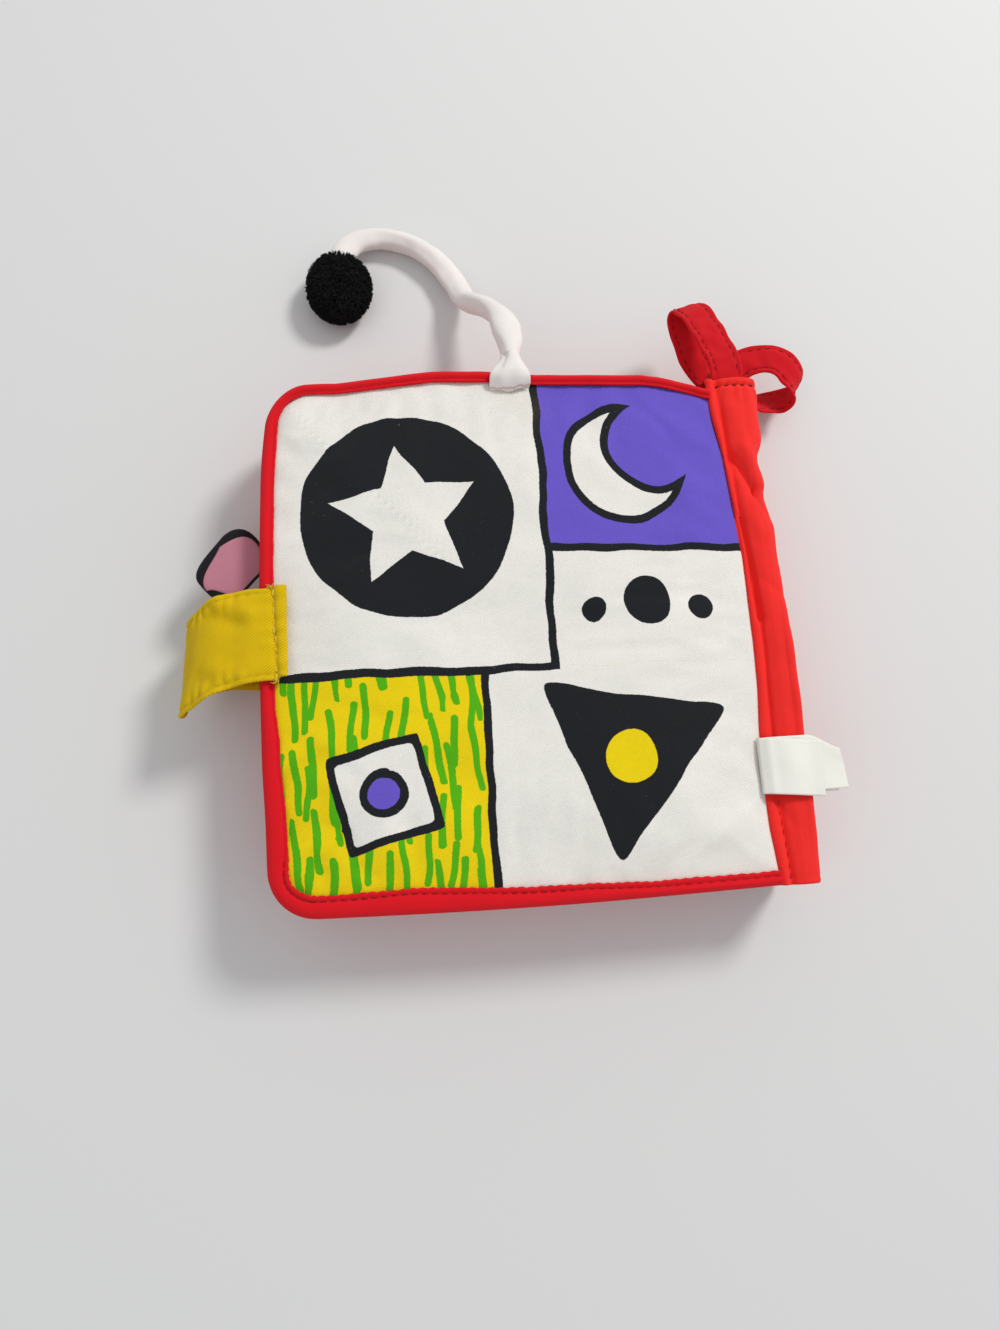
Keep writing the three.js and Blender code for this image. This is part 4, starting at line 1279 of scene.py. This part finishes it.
def ear_outline(border):
    root = EAR_ROOT_X + border * 0.15
    tip = EAR_ROOT_X - EAR_LENGTH + border
    low, high = EAR_LOW_Y + border, EAR_HIGH_Y - border
    top = (root - 12, high + 2)
    side = (tip + 1.5, high - 11)
    over = (root - 8 + border, high + 7.5 - border / 2)
    return np.concatenate([
        bezier((root, low), (root, low + 5), (root, high - 5), (root, high), 12),
        bezier((root, high), (root - 3, high + 6), over, top, 16),
        bezier(top, (tip + 3, high - 3), (tip - 1.5, high - 7.5), side, 16),
        bezier(side, (tip + 4, low + 3), (tip + 7, low), (tip + 11, low), 14),
        bezier((tip + 11, low), (tip + 14, low), (root - 3, low), (root, low), 6)])


def ear_piece(name, outline, bottom, top, material, replaced):
    """A flat puffed piece with the given outline: rings over its upper side and back under it."""
    centre = outline.mean(0)
    middle = (bottom + top) / 2
    sections, places = [], []
    for share, side, height in ([(s, 1, h) for s, h in PILLOW_RINGS]
                                + [(s, -1, h) for s, h in PILLOW_RINGS[-2::-1]]):
        x, y = (centre + (outline - centre) * max(share, 0.02)).T
        wave = 0.12 * wander_over(x, y, side * 3.0, 5.0) * (share < 0.95)
        sections.append(np.stack([x, y, middle + side * (top - bottom) / 2 * height + wave], 1))
        places.append(np.stack([x, y, np.full_like(x, middle)], 1))
    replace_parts(loft(name, sections, places, material, "ear"), replaced)


def ear_face_cloth():
    """Pink cloth, with a pale corner at the root beyond a drawn black line."""
    cloth = Cloth("ear_pink")
    off = side_of(*hand_drawn(cloth, 0.4, 0.2), (-68.4, 21.1), (-73.6, 15.6))
    shown = cloth.mix(inside(off), PINK, PALE_GREY)
    shown = cloth.mix(inside(off.absolute() - 0.45), shown, BLACK)
    return cloth.finish(shown, cloth.twill(0.6), 0.02)


ear_piece("ear_backing", ear_outline(0.0), 17.3, 18.9, EAR_BLACK, "ear_back")
ear_piece("ear_pink_face", ear_outline(2.2), 18.4, 19.4, ear_face_cloth(), "ear_face")


# ---------------------------------------------------------------- tail

JERSEY = plain_cloth("tail_jersey", TAIL, "plain", 0.5, 0.14, 0.95, 0.3, 0.02)
PLUSH = plain_cloth("black_plush", srgb(10, 11, 14), "plain", 0.8, 0.3, 0.95, 0.05, 0.1,
                    gloss=0.05)
TAIL_ROUTE = [[5.2, 81.7, 29.3], [5.6, 84.2, 29.1], [5.7, 87.0, 28.6], [5.4, 90.3, 27.6],
              [5.1, 94.9, 25.4], [4.2, 99.7, 22.6], [2.5, 104, 19.4], [-0.1, 108.3, 15.6],
              [-2.4, 111.2, 12.6], [-4.4, 114, 9.8], [-5.6, 117.4, 7.2], [-6.6, 121.6, 5.1],
              [-9.2, 127.4, 3.9], [-14.2, 133.8, 3.8], [-21.8, 138.8, 3.8], [-31, 141.2, 3.8],
              [-39.4, 139.4, 4.4], [-43.6, 134.6, 5.6], [-44.8, 129.6, 6.2]]
TAIL_STOPS = 34
# Sections of the root from the seam outwards: y, z, half the width and half the height
TAIL_ROOT = [(72.2, 28.2, 5.9, 0.55), (72.9, 29.3, 6.1, 1.2), (74.3, 30.3, 6.1, 1.8),
             (75.9, 30.7, 5.9, 2.2), (77.2, 30.5, 5.3, 2.5), (78.8, 30.0, 4.3, 2.9),
             (80.3, 29.6, 3.4, 3.1), (81.8, 29.4, 2.95, 3.1), (83.2, 29.25, 2.6, 2.7)]
TUFT_CENTRE = np.array([-45.6, 120.9, 6.3])
TUFT_RADII = np.array([10.3, 12.2, 5.9])
TUFT_STRANDS = 2600


def around(columns):
    """Angles at even steps once round."""
    return TURN * np.arange(columns) / columns


def crease_at(angle, width):
    """A crease along angle 0 of a round piece."""
    return bell((angle + math.pi) % TURN - math.pi, width)


def transported(centre):
    """Frames that turn as little as possible along a line."""
    along = unit(np.gradient(centre, axis=0))
    side = np.zeros_like(along)
    side[0] = unit(np.cross(along[0], (0.0, 0.0, 1.0)))
    for i in range(1, len(along)):
        side[i] = unit(side[i - 1] - along[i] * np.dot(side[i - 1], along[i]))
    return side, np.cross(side, along)


def make_tail():
    rows, columns = 150, 30
    centre, length = smooth_line(TAIL_ROUTE, rows)
    side, up = transported(centre)
    s, a = np.meshgrid(np.linspace(0, length, rows), around(columns), indexing="ij")
    crease = 0.35 * crease_at(a - 2.5 - 0.25 * np.sin(s / 9), 0.45)
    crease += 0.2 * crease_at(a - 0.7 - 0.3 * np.sin(s / 6), 0.5)
    swell = 0.22 * wander_over(np.cos(a) * 4, np.sin(a) * 4, s, 4.5) - crease
    wide = 3.7 + 0.5 * np.sin(s / 7.0) + 0.5 * bell(s - 14, 6) - bell(s, 4.5) + swell
    high = 3.0 - 0.35 * np.sin(s / 7.0) + swell
    b = a + 0.5 * np.sin(s / 16.0)
    sections = (centre[:, None] + side[:, None] * (wide * np.cos(b))[..., None]
                + up[:, None] * (high * np.sin(b))[..., None])
    tail = loft("tail", sections, flat_places(s, a * 3.5), JERSEY, "tail")
    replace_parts(tail, "tail_cord")
    picked = np.linspace(0, rows - 1, TAIL_STOPS).round().astype(int)
    return tail, (centre[picked] * MM).tolist(), length


def root_cloth():
    """Jersey with a faint reddish seam line along the root."""
    cloth = Cloth("tail_root_jersey", 0.95, 0.3)
    off_line = cloth.x - 72.5 + (cloth.noise(0.5, 1.0, 6.0) - 0.5) * 0.8
    shown = cloth.mix(inside(off_line.absolute() - 0.14, 0.3) * 0.6, TAIL, SEAM_PINK)
    return cloth.finish(shown, cloth.plain(0.5), 0.02, 0.14)


def make_tail_root():
    """The gathered root: flat and wide at the seam and round where the tube begins."""
    fine, _ = smooth_line([[0, *section] for section in TAIL_ROOT], 40)
    _, y, z, w, h = fine.T[..., None]
    a = around(44)
    fade = np.exp(-(y - TAIL_ROOT[0][0]) / 3.4)
    gather = 0.4 * fade * np.sin(7 * a + 0.6 * np.sin(2 * a)) * (np.sin(a) > -0.2)
    r = 1 - 1.3 * crease_at(a - 2.3, 0.38) * ramp(y, 74.5, 77.5) / 5
    slant = fade * (0.55 * np.cos(a) - 0.9 * bell(a - 1.6, 0.6))
    x = 4.8 + 0.6 * ramp(y, 76, 81) + w * r * np.cos(a)
    sections = np.stack([x, y + slant, z + (h * r + gather) * np.sin(a)], -1)
    places = np.stack(np.broadcast_arrays(y, a * 4, 0), -1)
    root = loft("tail_root", sections, places, root_cloth(), None)
    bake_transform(root)
    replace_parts(root, "tail_base")
    return root


def make_tuft():
    """A plush tuft: an uneven ball with short strands of pile."""
    polar, a = np.meshgrid(math.pi * np.arange(1, 40) / 40, around(56), indexing="ij")
    x, y, z = np.sin(polar) * np.cos(a), np.cos(polar), np.sin(polar) * np.sin(a)
    way = np.stack([x, y, z], -1)
    size = 0.93 + 0.06 * wander_over(x * 3, y * 3, z * 3, 1.0)
    size += 0.03 * wander_over(x * 9, y * 9, z * 9, 1.0)
    ball = TUFT_CENTRE + way * TUFT_RADII * size[..., None]
    tuft = loft("tail_plush", ball, way * 10, PLUSH, "tail")
    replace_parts(tuft, "tail_tuft")
    rng = random.Random(9)
    pile = []
    for _ in range(TUFT_STRANDS):
        way = unit(np.array([rng.gauss(0, 1) for _ in range(3)]))
        loose = np.array([rng.gauss(0, 0.6) for _ in range(3)])
        lean = unit(way + 0.9 * loose + np.array([0, -0.5, -0.2]))
        start = TUFT_CENTRE + way * TUFT_RADII * 0.95
        if (start + lean * 1.3)[2] > 0.3:
            pile.append((start + lean * 0.45, lean, np.array([0.3, 0.2, 0.9])))
    return tuft, stitches("tail_pile", pile, PLUSH, "tail", 1.9, 0.22)


tail_piece, tail_path, tail_length = make_tail()
tail_root = make_tail_root()
tail_tuft, tail_pile = make_tuft()
round(tail_length * MM, 4)


bpy.context.view_layer.update()
